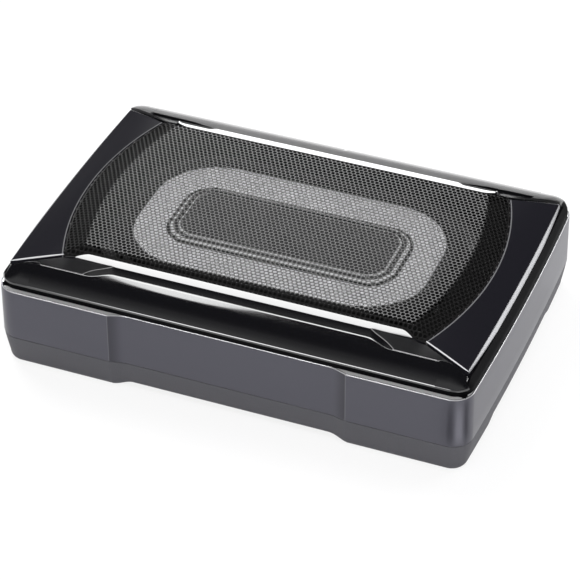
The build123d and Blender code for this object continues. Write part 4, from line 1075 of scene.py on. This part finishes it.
def sideCapFinish():
    # painted highlights as thin lighter lines where the edges are rounded: along the straight ends, and just
    # inside the curved one
    material = finish("satinBlack", (0.0090, 0.0088, 0.0116), 0.0, 0.22, 1500, 0.04, 0.04, 0.015)
    math, ramp, fall, product = nodeTools(material.node_tree)
    x, y, z = placeParts(material.node_tree)
    f, c, m = topFrame, sideCap, capMarks
    across = math("ABSOLUTE", x)
    grade = (f["capOutY"] - f["capInY"]) / (f["capOutX"] - f["capInX"])
    short = math("MULTIPLY", math("GREATER_THAN", y, 0.0), f["rearShort"] * mm)
    endY = math("ADD", math("MULTIPLY", math("SUBTRACT", across, f["capInX"] * mm), grade), f["capInY"] * mm)
    inFromEnd = math("SUBTRACT", math("SUBTRACT", endY, short), math("ABSOLUTE", y))
    drop = (c["inZ"] - c["outZ"]) / (f["capOutX"] - f["capInX"])
    topZ = math("SUBTRACT", c["inZ"] * mm, math("MULTIPLY", math("SUBTRACT", across, f["capInX"] * mm), drop))
    high = math("GREATER_THAN", math("ADD", z, m["below"]), topZ)
    endHighlight = product(fall(inFromEnd, *m["line"]), high, m["endLight"])
    sag = c["inMidX"] - f["capInX"]
    radius = (f["capInY"] ** 2 + sag ** 2) / (2 * sag)
    fromMiddle = math("ADD", across, (radius - c["inMidX"]) * mm)
    squares = math("ADD", math("POWER", fromMiddle, 2.0), math("POWER", y, 2.0))
    inFromArc = math("SUBTRACT", math("SQRT", squares), radius * mm)
    arcHighlight = product(ramp(inFromArc, *m["line"]), fall(inFromArc, *m["lineOut"]), m["arcLight"])
    # painted highlight colour for both lines
    mixColor(material, math("MAXIMUM", endHighlight, arcHighlight), (0.9, 0.9, 0.92))
    return material


def capFinish():
    material = finish("capGrey", (0.006, 0.006, 0.006), 0.0, 0.5, 900, 0.08, 0.1, 0.04)
    # painted highlight on the bevels and painted shade in the foot gap and groove, from the face attribute
    paintedLightTone = material.node_tree.nodes.new("ShaderNodeAttribute")
    paintedLightTone.attribute_name = "paintedLightTone"
    mixColor(material, paintedLightTone.outputs["Fac"], (0.78, 0.78, 0.79))
    return material


finishes = {
    "housing": housingFinish(),
    "base": finish("powderCoat", (0.068, 0.067, 0.077), 0.1, 0.62, 1100, 0.55, 0.35),
    "frame_black": frameFinish(),
    "cap_satin": sideCapFinish(),
    "grille": finish("grilleCoat", (0.009, 0.0087, 0.0089), 0.0, 0.24, 2000, 0.05, 0.1, 0.19),
    "foam": finish("gasketFoam", (0.006, 0.006, 0.006), 0.0, 0.85, 1300, 0.4, 0.3, 0.04),
    "cone": finish("coneSilver", (0.46, 0.46, 0.475), 0.2, 0.45, 700, 0.05, 0.1),
    "cap": capFinish(),
    "screw": finish("blackScrew", (0.02, 0.02, 0.021), 0.5, 0.42, 2200, 0.12, 0.14, 0.3),
    "rubber": finish("rollRubber", (0.010, 0.010, 0.010), 0.0, 0.6, 1200, 0.1, 0.1, 0.08),
    "basket": finish("chassisBlack", (0.012, 0.012, 0.012), 0.0, 0.5, 1000, 0.1, 0.1, 0.1),
}
# metallic, roughness, grain scale, bump depth and spread of the slots the lists above leave out
classLook = {
    "aluminium": (0.9, 0.38, 1400, 0.12, 0.12), "brass": (1.0, 0.26, 1800, 0.05, 0.1),
    "brushed_steel": (0.9, 0.30, 2200, 0.12, 0.14), "gloss_plastic": (0.0, 0.16, 900, 0.03, 0.05),
    "matte_plastic": (0.0, 0.48, 1500, 0.14, 0.12), "rubber": (0.0, 0.68, 1200, 0.18, 0.15),
    "ceramic": (0.0, 0.58, 1600, 0.22, 0.22), "fabric": (0.0, 0.92, 900, 0.6, 0.35),
    "painted_metal": (0.0, 0.42, 1300, 0.1, 0.1),
}
for slotRow in frame["record"]["materials"]:
    name, color = slotRow["slot"], slotRow["base_color"][:3]
    if name not in finishes:
        finishes[name] = finish(name + "Finish", color, *classLook[slotRow["class"]])
mattBlack = finish("mattBlack", (0.003, 0.003, 0.0035), 0.0, 0.42, 1500, 0.04, 0.06, 0.02)
slotOf = {row["node"]: row["material_slot"] for row in frame["record"]["subparts"]}
for name, node in frame["nodes"].items():
    node.data.materials.clear()
    node.data.materials.append(finishes[slotOf[name]])
for piece in [piece for group, node, slotName in pieceRows for piece in group]:
    mesh = piece.data
    which = np.zeros(len(mesh.polygons), int)
    mesh.polygons.foreach_get("material_index", which)
    mesh.materials.clear()
    mesh.materials.append(finishes[piece["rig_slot"]])
    if piece in (framePiece, housingPiece):
        mesh.materials.append(mattBlack)
    if piece is housingPiece:
        # the deck that the frame and grille cover takes the matt black finish too, as painted shade under them
        x, y, z = faceVectors(mesh, "center")
        m = housingMarks
        which = (np.abs(x) < m["deckX"][0]) & (np.abs(y) < m["deckY"][0]) & (z > m["deckZ"][0])
    if piece in (capRight, capLeft):
        mesh.materials.append(finish("polishedEdge", (0.15, 0.15, 0.157), 0.5, 0.24, 1500, 0.04, 0.06))
    mesh.polygons.foreach_set("material_index", which.astype(int))
print("stage: finishes made")

# stage, light and camera


def stageCard(name, corners, z, color, glow=0.0):
    # flat card with corners in mm and a plain finish, which isn't part of the object
    mesh = bpy.data.meshes.new(name)
    mesh.from_pydata([(x * mm, y * mm, z * mm) for x, y in corners], [], [(0, 1, 2, 3)])
    material = bpy.data.materials.new(name)
    material.use_nodes = True
    plain = material.node_tree.nodes["Principled BSDF"].inputs
    for label, value in (("Base Color", (*color, 1)), ("Roughness", 0.9), ("Emission Color", (1, 1, 1, 1)),
                         ("Emission Strength", glow)):
        plain[label].default_value = value
    mesh.materials.append(material)
    card = addObject(name, mesh)
    return card


def paleFloor(half=7000.0):
    # part white background for seen and mirrored rays, part plain floor that takes the shadow
    corners = [(-half, -half), (half, -half), (half, half), (-half, half)]
    tree = stageCard("floor", corners, -0.2, (0.92, 0.92, 0.93)).data.materials[0].node_tree
    math, *_ = nodeTools(tree)
    path = tree.nodes.new("ShaderNodeLightPath").outputs
    seen = math("MAXIMUM", path["Is Camera Ray"],
                math("MAXIMUM", path["Is Glossy Ray"], path["Is Transmission Ray"]))
    mix = tree.nodes.new("ShaderNodeMixShader")
    tree.links.new(math("MULTIPLY", seen, 0.82), mix.inputs[0])
    tree.links.new(tree.nodes["Principled BSDF"].outputs[0], mix.inputs[1])
    tree.links.new(tree.nodes.new("ShaderNodeEmission").outputs[0], mix.inputs[2])
    tree.links.new(mix.outputs[0], tree.nodes["Material Output"].inputs["Surface"])


paleFloor()


def softLamp(name, place, target, size, power):
    lamp = bpy.data.lights.new(name, "AREA")
    lamp.shape = "RECTANGLE"
    lamp.size, lamp.size_y = size
    lamp.energy = power
    holder = addObject(name, lamp)
    holder.location = place
    holder.rotation_euler = (Vector(place) - Vector(target)).to_track_quat("Z", "Y").to_euler()
    holder.visible_glossy = False


softLamp("keyLamp", (-1.3, 1.0, 1.9), (0, 0, 0.03), (1.2, 1.2), 46.0)
softLamp("fillLamp", (0.50, -0.80, 0.60), (0.08, -0.09, 0.03), (0.7, 0.5), 2.6)
softLamp("sideLamp", (0.45, 0.40, 0.22), (0.14, 0.09, 0.03), (0.3, 0.3), 1.6)
softLamp("topLamp", (0.25, -0.45, 1.45), (0, 0, 0.05), (0.6, 0.6), 6.0)

# cards on the floor, seen only by mirror rays: they give the rounded corner its dark and light bands
floorCards = {
    "darkCardFront": ([(121.8, -118.6), (110.0, -158.0), (152.4, -157.0), (139.7, -117.7)], 0.0),
    "darkCardSide": ([(161.0, -96.0), (201.5, -104.4), (203.0, -75.0), (162.6, -83.5)], 0.0),
    "brightCard": ([(144.5, -114.0), (163.0, -146.0), (188.0, -118.0), (158.5, -99.0)], 2.6),
}
for name, (corners, glow) in floorCards.items():
    card = stageCard(name, corners, 0.0, (0.01, 0.01, 0.01), glow)
    card.visible_camera = card.visible_diffuse = card.visible_shadow = False

studio = {
    "diffuseLevel": 0.62, "dark": 0.02, "front": 0.6, "ceiling": 0.4,
    # box: radiance, limits of x and of height z in the direction a mirror ray leaves
    "backBox": (9.0, (-0.50, -0.42), (-0.20, -0.12), (0.27, 0.345), (0.82, 0.87)),
    "lowBack": (0.25, (-1.1, -1.0), (0.95, 1.05), (-0.2, -0.1), (0.22, 0.34)),
    "sideBox": (6.0, (0.50, 0.58), (0.82, 0.90), (0.0, 0.04), (0.24, 0.30)),
    "leftBox": (1.1, (-0.80, -0.70), (-0.52, -0.46), (0.1, 0.2), (0.45, 0.55)),
    "frontBox": (11.0, (-0.40, -0.32), (-0.17, -0.10), (0.0, 0.06), (0.24, 0.32)),
    # lens: radiance, middle and half size in x and y of the mirror direction
    "lens": (9.0, (-0.335, 0.30), (0.030, 0.150)),
}


def studioWorld():
    # white for the camera, one plain level for diffuse light, soft boxes on a dark ceiling for mirror rays
    world = bpy.data.worlds.new("studio")
    bpy.context.scene.world = world
    world.use_nodes = True
    nodes, links = world.node_tree.nodes, world.node_tree.links
    background = nodes["Background"]
    place = nodes.new("ShaderNodeTexCoord")
    split = nodes.new("ShaderNodeSeparateXYZ")
    links.new(place.outputs["Generated"], split.inputs[0])
    x, y, z = split.outputs
    math, ramp, fall, product = nodeTools(world.node_tree)

    def box(level, left, right, low, high, behind=True):
        # product of four soft edges; the fifth factor keeps it behind or in front of the object
        sides, ends = product(ramp(x, *left), fall(x, *right)), product(ramp(z, *low), fall(z, *high))
        return product(sides, ends, ramp(y, 0.05, 0.2) if behind else fall(y, -0.2, -0.05), level)

    def lens(level, middle, half):
        # soft ellipse overhead: squared distance from its middle in half sizes, faded out at one
        parts = [math("POWER", math("DIVIDE", math("SUBTRACT", v, m), h), 2.0)
                 for v, m, h in zip((x, y), middle, half)]
        return product(fall(math("ADD", *parts), 0.75, 1.0), ramp(z, 0.4, 0.5), level)

    terms = [box(*studio[name]) for name in ("backBox", "lowBack", "sideBox", "leftBox")]
    terms += [box(*studio["frontBox"], behind=False), lens(*studio["lens"]),
              product(ramp(y, 0.0, -0.5), fall(z, 0.1, 0.4), studio["front"]),
              product(ramp(z, 0.4, 0.6), ramp(y, 0.0, -0.2), studio["ceiling"])]
    total = studio["dark"]
    for term in terms:
        total = math("ADD", term, total)
    path = nodes.new("ShaderNodeLightPath")
    mirrorRay = math("MAXIMUM", path.outputs["Is Glossy Ray"], path.outputs["Is Transmission Ray"])
    level = nodes.new("ShaderNodeMix")
    level.data_type = "FLOAT"
    level.inputs[2].default_value = studio["diffuseLevel"]
    links.new(mirrorRay, level.inputs[0])
    links.new(total, level.inputs[3])
    seen = nodes.new("ShaderNodeMix")
    seen.data_type = "FLOAT"
    seen.inputs[3].default_value = 1.0
    links.new(path.outputs["Is Camera Ray"], seen.inputs[0])
    links.new(level.outputs[0], seen.inputs[2])
    links.new(seen.outputs[0], background.inputs["Strength"])
    background.inputs["Color"].default_value = (1, 1, 1, 1)


studioWorld()

camera = {
    "place": (0.45878, -1.13448, 0.96212), "lens": 168.49, "sensor": 36.0,
    "right": (0.92883109, 0.37045181, -0.00618634), "up": (-0.22145979, 0.56849577, 0.79231819),
    "back": (0.29703262, -0.73455974, 0.61007673),
}
eye = addObject("camera", bpy.data.cameras.new("camera"))
turn = Matrix((camera["right"], camera["up"], camera["back"])).transposed().to_4x4()
eye.matrix_world = Matrix.Translation(camera["place"]) @ turn
eye.data.sensor_width = camera["sensor"]
eye.data.lens = camera["lens"]
eye.data.clip_start, eye.data.clip_end = 0.05, 50.0
bpy.context.scene.camera = eye
bpy.context.scene.view_settings.view_transform = "Standard"
print("stage: camera set")

bpy.context.view_layer.update()
